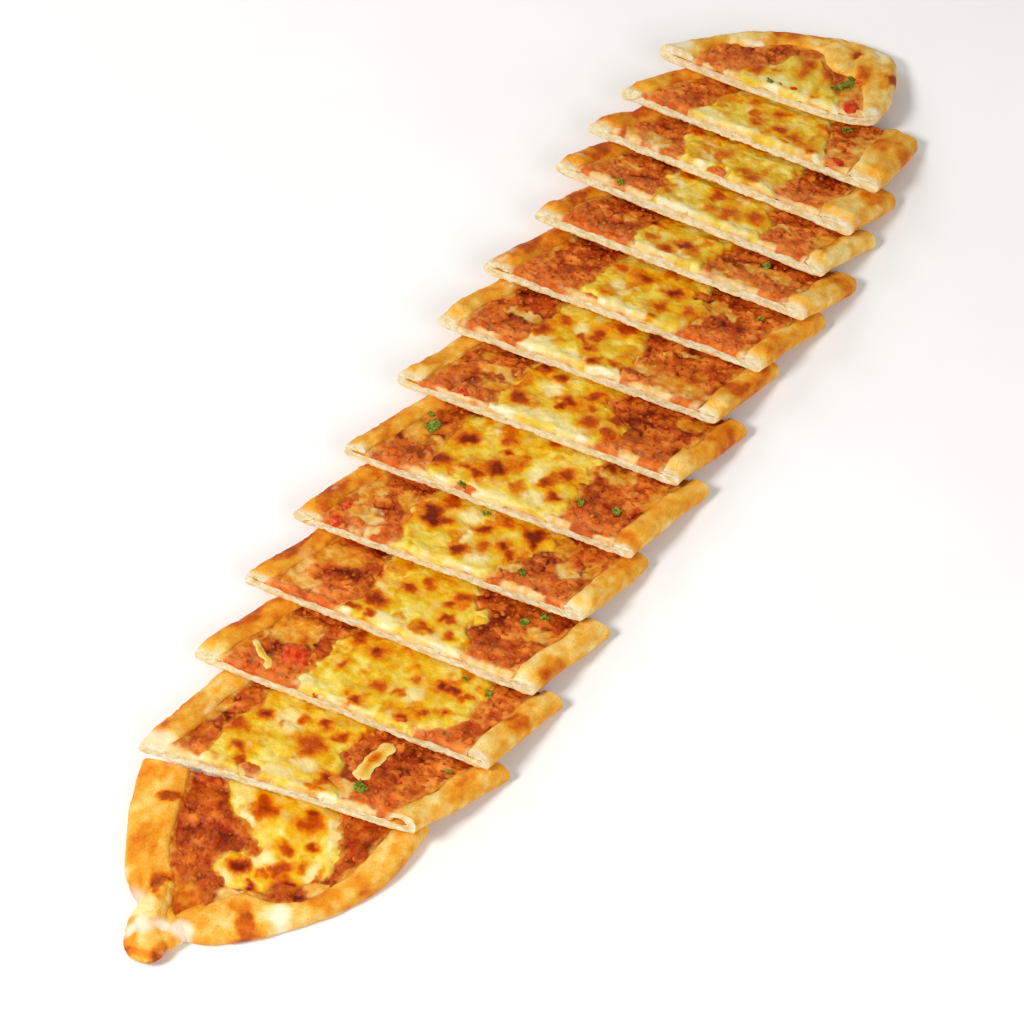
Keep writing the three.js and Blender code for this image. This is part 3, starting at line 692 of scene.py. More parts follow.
def slab(shell, top, low, faces, close, marks):
    """A closed layer: its top, walls down to the low heights, and a bottom."""
    used, back = np.unique(faces, return_inverse=True)
    faces = back.reshape(faces.shape)
    top = top[used]
    marks = {name: value[used] for name, value in marks.items()}
    edges = np.stack([faces, np.roll(faces, -1, axis=1)], axis=-1).reshape(-1, 2)
    key = np.sort(edges, axis=1)
    _, first, count = np.unique(key, axis=0, return_index=True, return_counts=True)
    border = edges[first[count == 1]]
    rim = np.unique(border)
    foot = np.zeros(len(top), int)
    foot[rim] = len(top) + np.arange(len(rim))
    bottom = top[rim].copy()
    bottom[:, 2] = low[used][rim]
    walls = np.stack([border[:, 0], foot[border[:, 0]], foot[border[:, 1]], border[:, 1]], axis=1)
    blocks = [faces, walls] + close(foot[border], bottom, len(top))
    joined = {name: np.concatenate([value, value[rim]]) for name, value in marks.items()}
    shell.add(np.concatenate([top, bottom]), blocks, **joined)


def one_bottom(lines, *_):
    """The bottom of a layer with a single border, as one face."""
    following = {a: b for a, b in lines}
    ring = [lines[0, 0]]
    while len(ring) < len(lines):
        ring.append(following[ring[-1]])
    return [np.array([ring])]


def holed_bottom(lines, bottom, start):
    """The bottom of a layer with holes and islands, as triangles."""
    shape = bmesh.new()
    corners = [shape.verts.new(point) for point in bottom]
    shape.verts.index_update()
    edges = [shape.edges.new((corners[a - start], corners[b - start])) for a, b in lines]
    bmesh.ops.triangle_fill(shape, use_beauty=False, use_dissolve=False, edges=edges)
    faces = [[corner.index + start for corner in face.verts] for face in shape.faces]
    shape.free()
    return [np.array(faces)] if faces else []


def new_object(name, data):
    """An object in the scene that holds the given data."""
    thing = bpy.data.objects.new(name, data)
    bpy.context.scene.collection.objects.link(thing)
    return thing


def evaluated_mesh(thing):
    """The mesh that an object's modifiers make of its own."""
    graph = bpy.context.evaluated_depsgraph_get()
    return bpy.data.meshes.new_from_object(thing.evaluated_get(graph))


def finished(name, mesh, material, nodes=()):
    """Makes the piece ride on the pide and stand for its solids."""
    mesh.name = name
    mesh.polygons.foreach_set("use_smooth", np.ones(len(mesh.polygons), bool))
    mesh.set_sharp_from_angle(angle=SHARP)
    if not mesh.materials:
        mesh.materials.append(material)
    piece = new_object(name, mesh)
    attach(piece, BODY)
    if nodes:
        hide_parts(*nodes)
    return piece


# ---- Dough ----

def rim_lines(width, height, opening, depth):
    """The outer and inner line of a folded rim, from its lip to the base."""
    lip = max(0.73 * height, PAN + 0.5 * opening + 1.0)
    over = [
        (width, lip), (0.97 * width, max(0.86 * height, lip + 0.3)), (0.82 * width, 0.96 * height),
        (0.58 * width, height), (min(3.9, 0.4 * width), 0.97 * height), (1.6, 0.86 * height),
        (0.3, 0.62 * height), (0, 0.33 * height),
    ]
    down = [(0, 0.33 * height), (0.8, 0.1 * height), (3.4, 0), (width, 0)]
    fold = [
        (width, lip), (0.985 * width, PAN + 0.45 * opening + 0.6),
        (0.93 * width, PAN + 0.45 * opening + 0.15),
        ((0.36 * depth + 0.64) * width, PAN + opening),
        ((0.72 * depth + 0.28) * width, PAN + opening), (depth * width, PAN + 0.35 * opening),
    ]
    back = [
        fold[-1], ((0.72 * depth + 0.28) * width, PAN - 0.3 * opening),
        ((0.31 * depth + 0.69) * width, PAN - 0.3 * opening), (width, PAN),
    ]
    outer = np.vstack([evenly(over, LIP_SAMPLES), evenly(down, EDGE_SAMPLES)[1:]])
    inner = np.vstack([evenly(fold, LIP_SAMPLES), evenly(back, EDGE_SAMPLES)[1:]])
    return outer, inner


def pan_floor(y, piece):
    """Height of the dough under the filling, which is uneven across a cut."""
    y = np.asarray(y, float).reshape(-1, 1)
    return PAN + 0.6 * lumps(y, 7, piece.number + 90) + 0.4 * lumps(y, 2.2, piece.number + 91)


def normals_of(grid):
    """Unit normals of a grid of points."""
    across = np.gradient(grid, axis=1)
    onward = np.gradient(grid, axis=0)
    normal = np.cross(onward, across)
    return normal / np.maximum(np.linalg.norm(normal, axis=-1, keepdims=True), 1e-9)


def crust_relief(points, seed, size):
    """Height of the crust's lumps, wrinkles, dents and small blisters."""
    flat = points.reshape(-1, 3)
    big = 1.1 * size * lumps(flat, 8, seed)
    stretched = flat * (0.4, 1, 1)
    wrinkles = 0.55 * size * lumps(stretched, 3.1, seed + 1)
    creases = -0.9 * size * (1 - ease(0.02, 0.14, np.abs(lumps(stretched, 7, seed + 4))))
    fine = 0.2 * size * lumps(flat, 1.4, seed + 2)
    away, number = cells(flat[:, :2], 6.5, seed + 3)
    blister = size * np.where(number > 0.6, 1 - ease(0.05, 0.3, away), 0)
    return (big + wrinkles + creases + fine + blister).reshape(points.shape[:-1])


def crumb_relief(grid, seed):
    """Pores and torn bits of a cut through the dough."""
    flat = grid.reshape(-1, 3)[:, 1:] * (0.8, 1.0)
    away, number = cells(flat, 2.6, seed)
    pores = np.where(number > 0.55, 1 - ease(0.1, 0.5 * number, away), 0)
    torn = 0.6 * lumps(flat, 4, seed + 5) + 0.4 * lumps(flat, 1.4, seed + 6)
    return (0.7 * torn - 0.45 * pores).reshape(grid.shape[:-1])


def cut_face(shell, outer, inner, outward, seed):
    """The crumb of a cut, between the outer and the inner line of the dough."""
    share = np.linspace(0, 1, CRUMB_ROWS + 1)[:, None, None]
    grid = outer[None] * (1 - share) + inner[None] * share
    depth = np.sin(np.pi * share[..., 0]) ** 0.5
    relief = crumb_relief(grid, seed)
    gap = np.linalg.norm(outer - inner, axis=1)
    depth = depth * ease(0, 2, gap)[None]
    moved = grid + np.array(outward) * (relief * depth)[..., None]
    white = np.ones(moved.shape[:2])
    white[0], white[-1] = 0, 0
    low = outer[:, 2] < 1.5
    for row in (1, 2):
        white[row, low] = np.clip(0.1 + 0.4 * row + 0.6 * lumps(outer[low], 3, seed + 8), 0, 1)
    # Painted shade: the crumb is darkened where its relief sinks, in its pores and torn dents.
    pits = np.clip(-relief, 0, 1) * depth
    shell.grid(moved, crumb=white, pit=pits, toast=0.4 * (1 - white))


def full_sections(piece):
    """Outer and inner lines of a full slice, as grids from near to far."""
    steps = max(8, round(piece.width / ROW_STEP))
    middle = round((HALF_LENGTH - BROAD_RIM) / ACROSS_STEP)
    outers, inners = [], []
    for t in np.linspace(0, 1, steps + 1):
        height = RIM_NEAR + (RIM_FAR - RIM_NEAR) * min(1, 2 * t)
        dip = CROWN_DIP * math.sin(math.pi * t)
        halves = []
        for sign, width, seed in ((-1, piece.rim_right, 0), (1, piece.rim_left, LEFT_SEED)):
            seed += piece.number
            reach = piece.half_at(t) + EDGE_WAVE * wave(seed, t)
            crown = height - dip * (1 + wave(seed + 1, t)) / 2
            share, opening = OPEN_FOLDS.get((piece.number, sign), (PRESSED, CLOSED))
            depth = OPEN_DEPTH if (piece.number, sign) in OPEN_FOLDS else SHUT_DEPTH
            pressed = 1 - ease(0, PRESSED_RUN, t)
            crown *= 1 - (1 - share) * pressed
            opening = CLOSED + (opening - CLOSED) * pressed
            lines = rim_lines(width + RIM_WAVE * wave(seed + 2, t), crown, opening, depth)
            half = []
            for line in lines:
                flat = np.linspace(line[-1], (reach, line[-1][1]), middle)[1:]
                line = np.vstack([line, flat])
                half.append(np.stack([sign * (reach - line[:, 0]), line[:, 1]], axis=1))
            halves.append(half)
        (right_out, right_in), (left_out, left_in) = halves
        outers.append(np.vstack([right_out, left_out[-2::-1]]))
        inners.append(np.vstack([right_in, left_in[-2::-1]]))
    t = np.linspace(0, 1, steps + 1)[:, None]
    outer, inner = (
        piece.place(t, section[..., 0], section[..., 1])
        for section in (np.array(outers), np.array(inners)))
    under = slice(LIP_SAMPLES + EDGE_SAMPLES, 1 - LIP_SAMPLES - EDGE_SAMPLES)
    floor = inner[:, under]
    floor[..., 2] = pan_floor(floor[..., 1], piece).reshape(floor.shape[:2])
    return outer, inner


def toast_of(points, piece):
    """How browned the crust is, from pale 0 to dark 1."""
    flat = points.reshape(-1, 3)
    seed = 7 * piece.number
    left, right = CRUST_TONE[piece.number - 1]
    side = ease(-8, 8, flat[:, 1])
    mottle = 0.5 * lumps(flat * (0.5, 1, 1), 11, seed) + 0.4 * lumps(flat, 4.5, seed + 1)
    mottle += 0.25 * lumps(flat * (0.5, 1, 1), 2.4, seed + 2)
    toast = left * side + right * (1 - side) + 0.36 * mottle
    moved = wandered(flat[:, :2], 410, (2.2, 7), (0.9, 2.5))
    for *spot, more in CRUST_PATCHES[piece.number]:
        patch = np.exp(-patch_distance(piece, moved, *spot) ** 2.4)
        toast += more * (0.3 * patch + 0.7 * ease(0.25, 0.65, patch + 0.35 * mottle))
    if not piece.pointed:
        near = ease(0, 5, flat[:, 0] + piece.width)
        toast = toast * (0.65 + 0.35 * near)
    low = 1 - ease(0.4, 2.4, flat[:, 2])
    return np.clip(np.maximum(toast, 0.5 * low), 0, 1.2).reshape(points.shape[:-1])


def flour_of(points, piece):
    """Where flour still lies on the crust."""
    flat = points.reshape(-1, 3)
    dust = lumps(flat, 8, 3 * piece.number + 200) + 0.35 * lumps(flat, 2.2, piece.number)
    dust = 0.5 * ease(0.7, 1.2, dust)
    placed = patch_mask(piece, flat[:, :2], FLOUR.get(piece.number), 1.8)
    dust = np.maximum(dust, 0.9 * placed)
    if not piece.pointed:
        near = 1 - ease(0.2, 2.6, flat[:, 0] + piece.width + 1.6 * lumps(flat, 4, 77))
        dust = np.maximum(dust, 0.6 * near)
    return dust.reshape(points.shape[:-1])


def flaps_of(points, piece):
    """Height of the flaps of dough that are folded over a rim."""
    flat = points.reshape(-1, 3)[:, :2]
    height = np.zeros(len(flat))
    for outline in FLAPS.get(piece.number, ()):
        height = np.maximum(height, FLAP_HEIGHT * ease(-0.3, 0.8, inside(flat, outline)))
    return height.reshape(points.shape[:-1])


def add_skin(shell, outer, inner, piece, relief):
    """The crust outside and in the fold. Returns both grids as displaced."""
    seed = 13 * piece.number
    skins = []
    for grid, side, fold in ((outer, -1, False), (inner, 1, True)):
        lift = ease(0.3, 2.5, grid[..., 2]) * (0.25 if fold else 1)
        open_lip = np.ones(grid.shape[1])
        open_lip[0], open_lip[-1] = 0, 0
        height = crust_relief(grid, seed, relief) * lift * open_lip
        if not fold:
            height += flaps_of(grid, piece) * lift * open_lip
        skins.append(grid + side * normals_of(grid) * height[..., None])
    outer, inner = skins
    shell.grid(outer, toast=toast_of(outer, piece), flour=flour_of(outer, piece))
    shell.grid(inner, toast=np.full(inner.shape[:2], 0.5))
    return outer, inner


def full_dough(piece, settings):
    outer, inner = full_sections(piece)
    for row in (0, -1):
        ragged = 0.4 * lumps(outer[row], 2.8, piece.number + 60)
        ragged += 0.25 * lumps(outer[row], 1.2, piece.number + 61)
        outer[row, :, 0] += ragged
        inner[row, :, 0] += ragged
        frayed = 0.6 * lumps(outer[row, :, 1:2], 7, piece.number + 62)
        frayed += 0.4 * lumps(outer[row, :, 1:2], 1.3, piece.number + 63)
        low = 1 - ease(0, 1.5, outer[row, :, 2])
        outer[row, :, 2] += 0.6 * np.clip(frayed + 0.3, 0, 1) * low
    shell = Shell()
    outer, inner = add_skin(shell, outer, inner, piece, settings.crust_relief / MM)
    cut_face(shell, outer[0], inner[0], (-1, 0, 0), piece.number)
    cut_face(shell, outer[-1], inner[-1], (1, 0, 0), piece.number + 20)
    return shell


def pointed_sections(piece):
    """Rim sections that follow a pointed end's outline round its tip."""
    outline, lip, *_ = POINTED_ENDS[piece.number]
    length = np.linalg.norm(np.diff(np.array(outline), axis=0), axis=1).sum()
    shares = np.linspace(0, 1, round(length / POINTED_STEP) + 1)
    edges, lips = curve(outline, shares), curve(lip, shares)
    outers, inners = [], []
    for share, edge, inner_edge in zip(shares, edges, lips):
        width = np.linalg.norm(edge - inner_edge)
        height = POINTED_RIM - CROWN_DIP * (1 + wave(piece.number, 3 * share)) / 2
        depth = SHUT_DEPTH
        if piece.number == 1:
            from_knot = np.linalg.norm(edge - KNOT_STRANDS[0][1][:2])
            height *= 1 - (1 - TUCKED) * (1 - ease(*TUCKED_REACH, from_knot))
        else:
            depth += (OPEN_DEPTH - SHUT_DEPTH) * (1 - ease(0, OPEN_REACH, length * (1 - share)))
        for lines, made in zip(rim_lines(width, height, CLOSED, depth), (outers, inners)):
            in_share = (lines[:, 0] / width)[:, None]
            plan = edge * (1 - in_share) + inner_edge * in_share
            made.append(np.column_stack([plan, lines[:, 1]]))
    return np.array(outers), np.array(inners)


def pointed_dough(piece, settings):
    outer, inner = pointed_sections(piece)
    facing = POINTED_ENDS[piece.number][-1]
    shell = Shell()
    outer, inner = add_skin(shell, outer, inner, piece, settings.crust_relief / MM)
    rings = []
    count = round(np.linalg.norm(outer[0, -1] - outer[-1, -1]) / ACROSS_STEP)
    for grid in (outer, inner):
        base = np.linspace(grid[0, -1], grid[-1, -1], count + 1)
        rings.append((np.vstack([grid[0], base[1:-1], grid[-1, ::-1]]), base))
    cut_face(shell, rings[0][0], rings[1][0], (facing, 0, 0), piece.number)
    for grid, (_, base) in zip((outer, inner), rings):
        floor = np.vstack([grid[:, -1], base[-2:0:-1]])
        shell.add(floor, [np.arange(len(floor))[None]], toast=0.5)
    return shell


def knot_mesh():
    """The knot's strands, pressed together under one skin."""
    shape = bmesh.new()
    for strand in KNOT_STRANDS:
        for x, y, z, wide, high in evenly(strand, KNOT_STEPS):
            made = bmesh.ops.create_icosphere(shape, subdivisions=3, radius=1)["verts"]
            for corner in made:
                point = Vector((x, y, z)) + Vector(c * s for c, s in zip(
                    corner.co, (wide, wide, high)))
                corner.co = (point.x, point.y, max(point.z, 0))
    mesh = bpy.data.meshes.new("knot")
    shape.to_mesh(mesh)
    shape.free()
    lump = new_object("knot", mesh)
    remesh = lump.modifiers.new("one_skin", "REMESH")
    remesh.mode = "VOXEL"
    remesh.voxel_size = KNOT_VOXEL
    smooth = lump.modifiers.new("soft", "SMOOTH")
    smooth.factor = 0.5
    smooth.iterations = KNOT_SMOOTHING
    made = evaluated_mesh(lump)
    bpy.data.objects.remove(lump)
    bpy.data.meshes.remove(mesh)
    return made


def add_knot(shell, piece, settings):
    """The twisted knot at the tip, with the same relief and colours as the crust."""
    mesh = knot_mesh()
    points = np.zeros(3 * len(mesh.vertices))
    normal = np.zeros(3 * len(mesh.vertices))
    corners = np.zeros(len(mesh.loops), np.int32)
    mesh.vertices.foreach_get("co", points)
    mesh.vertices.foreach_get("normal", normal)
    mesh.loops.foreach_get("vertex_index", corners)
    bpy.data.meshes.remove(mesh)
    points = points.reshape(-1, 3)
    relief = crust_relief(points, 5, 0.7 * settings.crust_relief / MM)
    points = points + normal.reshape(-1, 3) * (relief * ease(0.3, 2, points[:, 2]))[:, None]
    shell.add(points, [corners.reshape(-1, 4)], toast=toast_of(points, piece),
              flour=flour_of(points, piece))


# ---- Filling and cheese ----

FILLING_TOP = BASE + 1.75
CHEESE_FULL = 1.45        # depth at which the cheese has its full thickness
FIRST_EVEN = 0.6          # how much of the mince's unevenness the first slice has
FIRST_SHADE = 0.27        # tone of the first slice's mince, which is browner than the rest
FIRST_PALER = 0.14        # how much less browned its cheese is
FAR_FROM = 10             # the slices after this one have brighter mince and softer spots
FAR_BRIGHTER = 0.09       # added to the tone of their mince
NEAR_DARKER = -0.03       # added to it on the slices before them, but the first
FAR_SPOTS = 0.75          # how dark their spots are, as a share
FILM_RAGGED = 3.2         # how ragged the edges of a film are
FILM_TONE = 0.45          # how roasted a film is where nothing else is stated
PAST_CUT = 8              # how far a pointed end's outlines are carried past its cut
CHEESE_MARGIN = 9         # how far the cheese may run past its outline
SAG = (0.9, 0.4, 0.15)    # how far the rows next to a near cut sag
FILLING_HANG = 0.5        # how far the filling hangs over that cut
CHEESE_HANG = 0.8         # how far the cheese does


def carried(line, past):
    """A line with both ends carried past the cut, so that a layer isn't thin there."""
    return np.vstack([line[:1] + (past, 0), line, line[-1:] + (past, 0)])


def band_outline(left, right, past):
    """The outline of a pointed end's cheese, from its left and right edges."""
    shares = np.linspace(0, 1, BAND_SAMPLES)
    return carried(np.vstack([curve(left, shares), curve(right, shares)[::-1]]), past)


class Topping:
    """Where mince, oil and cheese lie on one slice."""

    def __init__(self, piece):
        self.piece = piece
        self.seed = 17 * piece.number
        if piece.pointed:
            _, inner, left, right, facing = POINTED_ENDS[piece.number]
            shares = np.linspace(0, 1, HOLLOW_SAMPLES)
            self.cheese = band_outline(left, right, facing * PAST_CUT)
            self.hollow = carried(curve(inner, shares), facing * PAST_CUT)
        else:
            t = np.linspace(-0.15, 1.15, BAND_ROWS)
            left, right = (
                piece.place(t, along(span, np.clip(t, 0, 1)), 0)[:, :2]
                for span in CHEESE_SPAN[piece.number - 2])
            self.cheese = np.vstack([left, right[::-1]])
            t = np.linspace(-0.2, 1.2, HOLLOW_ROWS)
            reach = piece.half_at(t)
            left = piece.place(t, reach - piece.rim_left, 0)[:, :2]
            right = piece.place(t, piece.rim_right - reach, 0)[:, :2]
            self.hollow = np.vstack([left, right[::-1]])

    def cheese_depth(self, flat):
        """How thick the cheese is; below zero where there is none."""
        edge = inside(flat, self.cheese)
        edge += 2.6 * lumps(flat, 9, self.seed) + 1.6 * lumps(flat, 4.2, self.seed + 1)
        edge += 0.7 * lumps(flat, 2, self.seed + 4)
        depth = CHEESE_FULL * np.clip(edge / 3.2, -1, 1)
        lobes = patch_mask(self.piece, flat, LOBES.get(self.piece.number), 1.2)
        depth = np.maximum(depth, CHEESE_FULL * (1.7 * lobes - 0.9))
        bare = patch_mask(self.piece, flat, BARE.get(self.piece.number), 1.4)
        gap = lumps(flat, 6.5, self.seed + 2) + 0.4 * lumps(flat, 3, self.seed + 3)
        return depth - 2.8 * bare - 2.6 * np.clip(gap - 0.85, 0, 1)

    def browned(self, flat):
        """How browned the cheese is at each point."""
        moved = wandered(flat, 300, (2.2, 5), (1.2, 2.3))
        halo, core = np.zeros(len(flat)), np.zeros(len(flat))
        for y, x, across, dark in BROWN_SPOTS[self.piece.number]:
            away = np.linalg.norm(moved - self.piece.marked(y, x), axis=1) / (0.5 * across)
            halo = np.maximum(halo, min(1, 0.6 + 0.4 * dark) * (1 - ease(0.6, 2.2, away)))
            core = np.maximum(core, dark * (1 - ease(0.2, 1.15, away)))
        away, number = cells(moved, 8, self.seed + 8)
        small = np.where(number > 0.72, 0.6, 0)
        halo = np.maximum(halo, small * (1 - ease(0.1, 0.5, away)))
        tone = 0.25 + 0.12 * lumps(flat, 9, self.seed + 10)
        tone += 0.1 * lumps(moved, 4.2, self.seed + 15) + 0.05 * lumps(flat, 1.9, self.seed + 16)
        streak = lumps(moved * (0.55, 1), 5.5, self.seed + 18)
        tone += 0.28 * ease(0.1, 0.75, streak)
        from_cut = self.piece.from_cut(flat)
        tone -= 0.1 * (1 - ease(1, 12, from_cut))
        if self.piece.number == 1:
            tone -= FIRST_PALER
        if self.piece.number > FAR_FROM:
            core *= FAR_SPOTS
        warm = tone + (0.6 - tone) * np.clip(halo, 0, 1) * (tone < 0.6)
        brown = warm + (1.0 - warm) * np.clip(0.9 * core, 0, 1)
        return np.clip(brown * (0.6 + 0.4 * ease(0.2, 3, from_cut)), 0, 1.1)

    def pale(self, flat):
        """Where the cheese is thick and white, from 0 to 1."""
        from_cut = self.piece.from_cut(flat)
        patchy = lumps(flat, 9, self.seed + 40) + 0.4 * lumps(flat, 3.5, self.seed + 41)
        by_cut = 1 - ease(0.5, 7 + 5 * lumps(flat, 6, 72), from_cut)
        placed = patch_mask(self.piece, flat, PALE[self.piece.number], 2.0)
        return np.maximum(ease(-0.3, 0.5, patchy) * by_cut, 0.9 * placed)

    def filmed(self, flat):
        """Where a smooth film of oil and thin cheese lies on the mince, from 0 to 1."""
        film = patch_mask(self.piece, flat, FILMS[self.piece.number], FILM_RAGGED)
        edge = inside(flat, self.hollow)
        rim = 1 - ease(0, 2.4, edge - 0.4 - 2.2 * lumps(flat, 8, self.seed + 20))
        by_cheese = ease(-1.4, 0.1, self.cheese_depth(flat)) * 0.7
        reach = 4.5 + 3.5 * lumps(flat, 9, self.seed + 23)
        by_cut = 1 - ease(0.4, reach, self.piece.from_cut(flat))
        by_cut *= 0.95 * ease(-0.3, 0.3, lumps(flat, 11, self.seed + 24))
        patchy = 0.85 + 0.25 * lumps(flat, 4.5, self.seed + 21)
        most = np.max([film, 0.6 * rim, by_cheese, by_cut], axis=0)
        return np.clip(most * patchy, 0, 1)

    def film_tone(self, flat):
        """How roasted the film is, from cream 0 to brown 1."""
        total, weight = np.full(len(flat), 0.1 * FILM_TONE), np.full(len(flat), 0.1)
        for patch in FILMS[self.piece.number]:
            share = patch_mask(self.piece, flat, [patch], FILM_RAGGED)
            total += share * patch[-1]
            weight += share
        scorched = 0.6 * np.clip(self.browned(flat) - 0.4, 0, 1)
        tone = total / weight + 0.12 * lumps(flat, 5, self.seed + 22) + scorched
        creamy = 0.2 + 0.8 * ease(0, 7, self.piece.from_cut(flat))
        return np.clip(tone * creamy, 0, 1)

    def mince(self, flat):
        """Height of the filling, its grains' tone with painted crevice shade, and the film on it.
        """
        film = self.filmed(flat)
        warped = wandered(flat, 310, (1.3, 3.4), (0.5, 1.5))
        clump, tone = cells(warped, 5.2, self.seed + 29)
        away, number = cells(warped, 3.0, self.seed + 30)
        small, other = cells(warped, 1.8, self.seed + 31)
        rough = 1.6 * (0.3 - clump ** 2) + 0.6 * (0.3 - away ** 2) + 0.22 * (0.3 - small ** 2)
        rough += 0.9 * (tone - 0.5) + 0.4 * (number - 0.5) + 0.1 * (other - 0.5)
        swell = 0.4 * lumps(flat, 12, self.seed + 32)
        by_cheese = ease(-1.3, -0.1, self.cheese_depth(flat))
        smooth = np.maximum(0.95 * film, 0.85 * by_cheese)
        height = FILLING_TOP + swell * (1 - by_cheese) + rough * (1 - smooth) - 0.1 * film
        height += 0.4 * (1 - ease(0, 3, inside(flat, self.hollow)))
        # The last term is painted shade: grains are darker where the relief is low, in the
        # crevices between the clumps.
        shade = 0.34 * tone + 0.14 * number + 0.06 * other + 0.36 * ease(-0.9, 0.9, rough)
        shade += 0.26 * lumps(flat, 10, self.seed + 33) + 0.2 * lumps(flat, 5, self.seed + 34)
        if self.piece.number == 1:
            shade = FIRST_EVEN * shade + (1 - FIRST_EVEN) * FIRST_SHADE
        else:
            shade += FAR_BRIGHTER if self.piece.number > FAR_FROM else NEAR_DARKER
        return height, shade, film


def widened(line, by):
    """A line moved sideways, away from the middle of the pointed end it runs round."""
    run = heading(line)
    return line + by * np.stack([run[:, 1], -run[:, 0]], axis=1)


def filling_grid(piece):
    """Plan of a filling, as rows by columns of points."""
    if not piece.pointed:
        rows = round(piece.width / MINCE_STEP)
        t = np.linspace(0, 1, rows + 1)[:, None]
        reach = piece.half_at(t)
        left = reach - piece.rim_left + RIM_WAVE
        right = piece.rim_right - RIM_WAVE - reach
        columns = round((left - right).max() / MINCE_STEP)
        share = np.linspace(0, 1, columns + 1)[None]
        return piece.place(t, left * (1 - share) + right * share, 0.0)
    inner = POINTED_ENDS[piece.number][1]
    half = np.linspace(0, SHORT_OF_TIP, POINTED_ROWS[piece.number] + 1)
    left = widened(curve(inner, half), UNDER_RIM)
    right = widened(curve(inner, 1 - half), -UNDER_RIM)
    share = np.linspace(0, 1, POINTED_COLUMNS + 1)[None, :, None]
    plan = left[:, None] * (1 - share) + right[:, None] * share
    return np.concatenate([plan, np.zeros(plan.shape[:2] + (1,))], axis=2)


def droop(points, number, piece, hang):
    """Lets the rows next to a near cut sag and hang over it unevenly."""
    if piece.number == 1:
        return
    for row, drop in zip(number, SAG):
        y = points[row, 1:2]
        uneven = 0.75 * lumps(y, 6, piece.number + 96) + 0.25 * lumps(y, 2.5, piece.number + 97)
        points[row, 2] -= drop * (0.8 + 0.5 * uneven)
        points[row, 0] -= hang * drop / SAG[0] * (0.5 + 0.8 * uneven)


def filling_shell(piece):
    plan = filling_grid(piece)
    topping = Topping(piece)
    flat = plan[..., :2].reshape(-1, 2)
    height, grain, film = topping.mince(flat)
    points = np.column_stack([flat, height])
    number = np.arange(len(flat)).reshape(plan.shape[:2])
    droop(points, number, piece, FILLING_HANG)
    from_cut = piece.from_cut(flat)
    # Brighter mince near the near cut: partly the meat's own colour there, partly painted light,
    # which leaves the far part darker as if in the shade of the next slice.
    fresh = 1 - ease(1, 20 + 6 * lumps(flat, 8, 71), from_cut)
    open_top = 1 - ease(-0.2, 0.25, topping.cheese_depth(flat))
    loose = open_top * (1 - ease(0.08, 0.4, film)) * ease(1.0, 2.2, inside(flat, topping.hollow))
    loose *= ease(0.2, 1.0, from_cut)
    oil = topping.film_tone(flat)
    marks = {"grain": grain, "film": film, "fresh": fresh, "loose": loose, "oil": oil}
    low = pan_floor(flat[:, 1], piece) - 0.1
    shell = Shell()
    slab(shell, points, low, quads_of(number), one_bottom, marks)
    return shell


def cheese_grid(piece, outline):
    """Plan of the cheese, as rows by columns of points that reach past its outline."""
    low, high = outline.min(axis=0) - CHEESE_MARGIN, outline.max(axis=0) + CHEESE_MARGIN
    if piece.pointed:
        ends = (low[0], 0) if piece.number == 1 else (-piece.width, high[0])
        x = np.linspace(*ends, round((ends[1] - ends[0]) / CHEESE_GRID) + 1)
        y = np.arange(low[1], high[1], CHEESE_GRID)
        return np.stack(np.meshgrid(x, y, indexing="ij"), axis=-1)
    rows = round(piece.width / CHEESE_GRID)
    t = np.linspace(0, 1, rows + 1)[:, None]
    y = np.arange(low[1], high[1] + piece.slip * piece.width, CHEESE_GRID)[None]
    return piece.place(t, y, 0)[..., :2]


def cheese_shell(piece, settings):
    topping = Topping(piece)
    plan = cheese_grid(piece, topping.cheese)
    flat = plan.reshape(-1, 2)
    depth = topping.cheese_depth(flat)
    depth = np.where(inside(flat, topping.hollow) > 0.8, depth, -1)
    brown = topping.browned(flat)
    melt = settings.thickness / MM
    share = np.clip(depth / CHEESE_FULL, -1, 1)
    body = melt * np.where(share > 0, 1 - (1 - share) ** 2, share)
    full = ease(0, 0.9, depth)
    swell = 0.52 * lumps(flat, 5.5, topping.seed + 11) + 0.26 * lumps(flat, 2.6, topping.seed + 12)
    blister = np.clip(brown, 0, 1.1) * (0.55 + 0.3 * lumps(flat, 1.9, topping.seed + 14))
    from_cut = piece.from_cut(flat)
    lip = 0.3 * (1 - ease(0.5, 6, from_cut)) * (0.8 + 1.6 * lumps(flat, 4, topping.seed + 19))
    height = FILLING_TOP - 0.1 + body + full * (swell + blister + lip)
    number = np.arange(len(flat)).reshape(plan.shape[:2])
    points = np.column_stack([flat, height])
    droop(points, number, piece, CHEESE_HANG)
    faces = quads_of(number)
    faces = without_pinches(faces[(depth[faces] > -0.3).any(axis=1)], number)
    fresh = topping.pale(flat) * (1 - ease(0.38, 0.62, brown))
    marks = {"brown": brown, "depth": depth, "fresh": fresh}
    shell = Shell()
    drip = ease(-0.1, 0.7, lumps(flat[:, 1:], 8, piece.number + 95)) * (1 - ease(0, 1.5, from_cut))
    slab(shell, points, BASE + 0.9 - 1.9 * drip, faces, holed_bottom, marks)
    return shell


def without_pinches(faces, number):
    """Drops faces that meet the rest of the layer only at a corner."""
    rows, columns = number.shape
    kept = np.zeros((rows - 1, columns - 1), bool)
    i, j = np.unravel_index(faces[:, 0], (rows, columns))
    kept[i, j] = True
    for _ in range(6):
        a, b = kept[:-1, :-1], kept[:-1, 1:]
        c, d = kept[1:, :-1], kept[1:, 1:]
        kept[:-1, :-1] |= a | (~a & b & c & ~d)
        kept[:-1, 1:] |= b | (~b & a & d & ~c)
    i, j = np.nonzero(kept)
    corners = [number[i, j], number[i, j + 1], number[i + 1, j + 1], number[i + 1, j]]
    return np.stack(corners, axis=1)


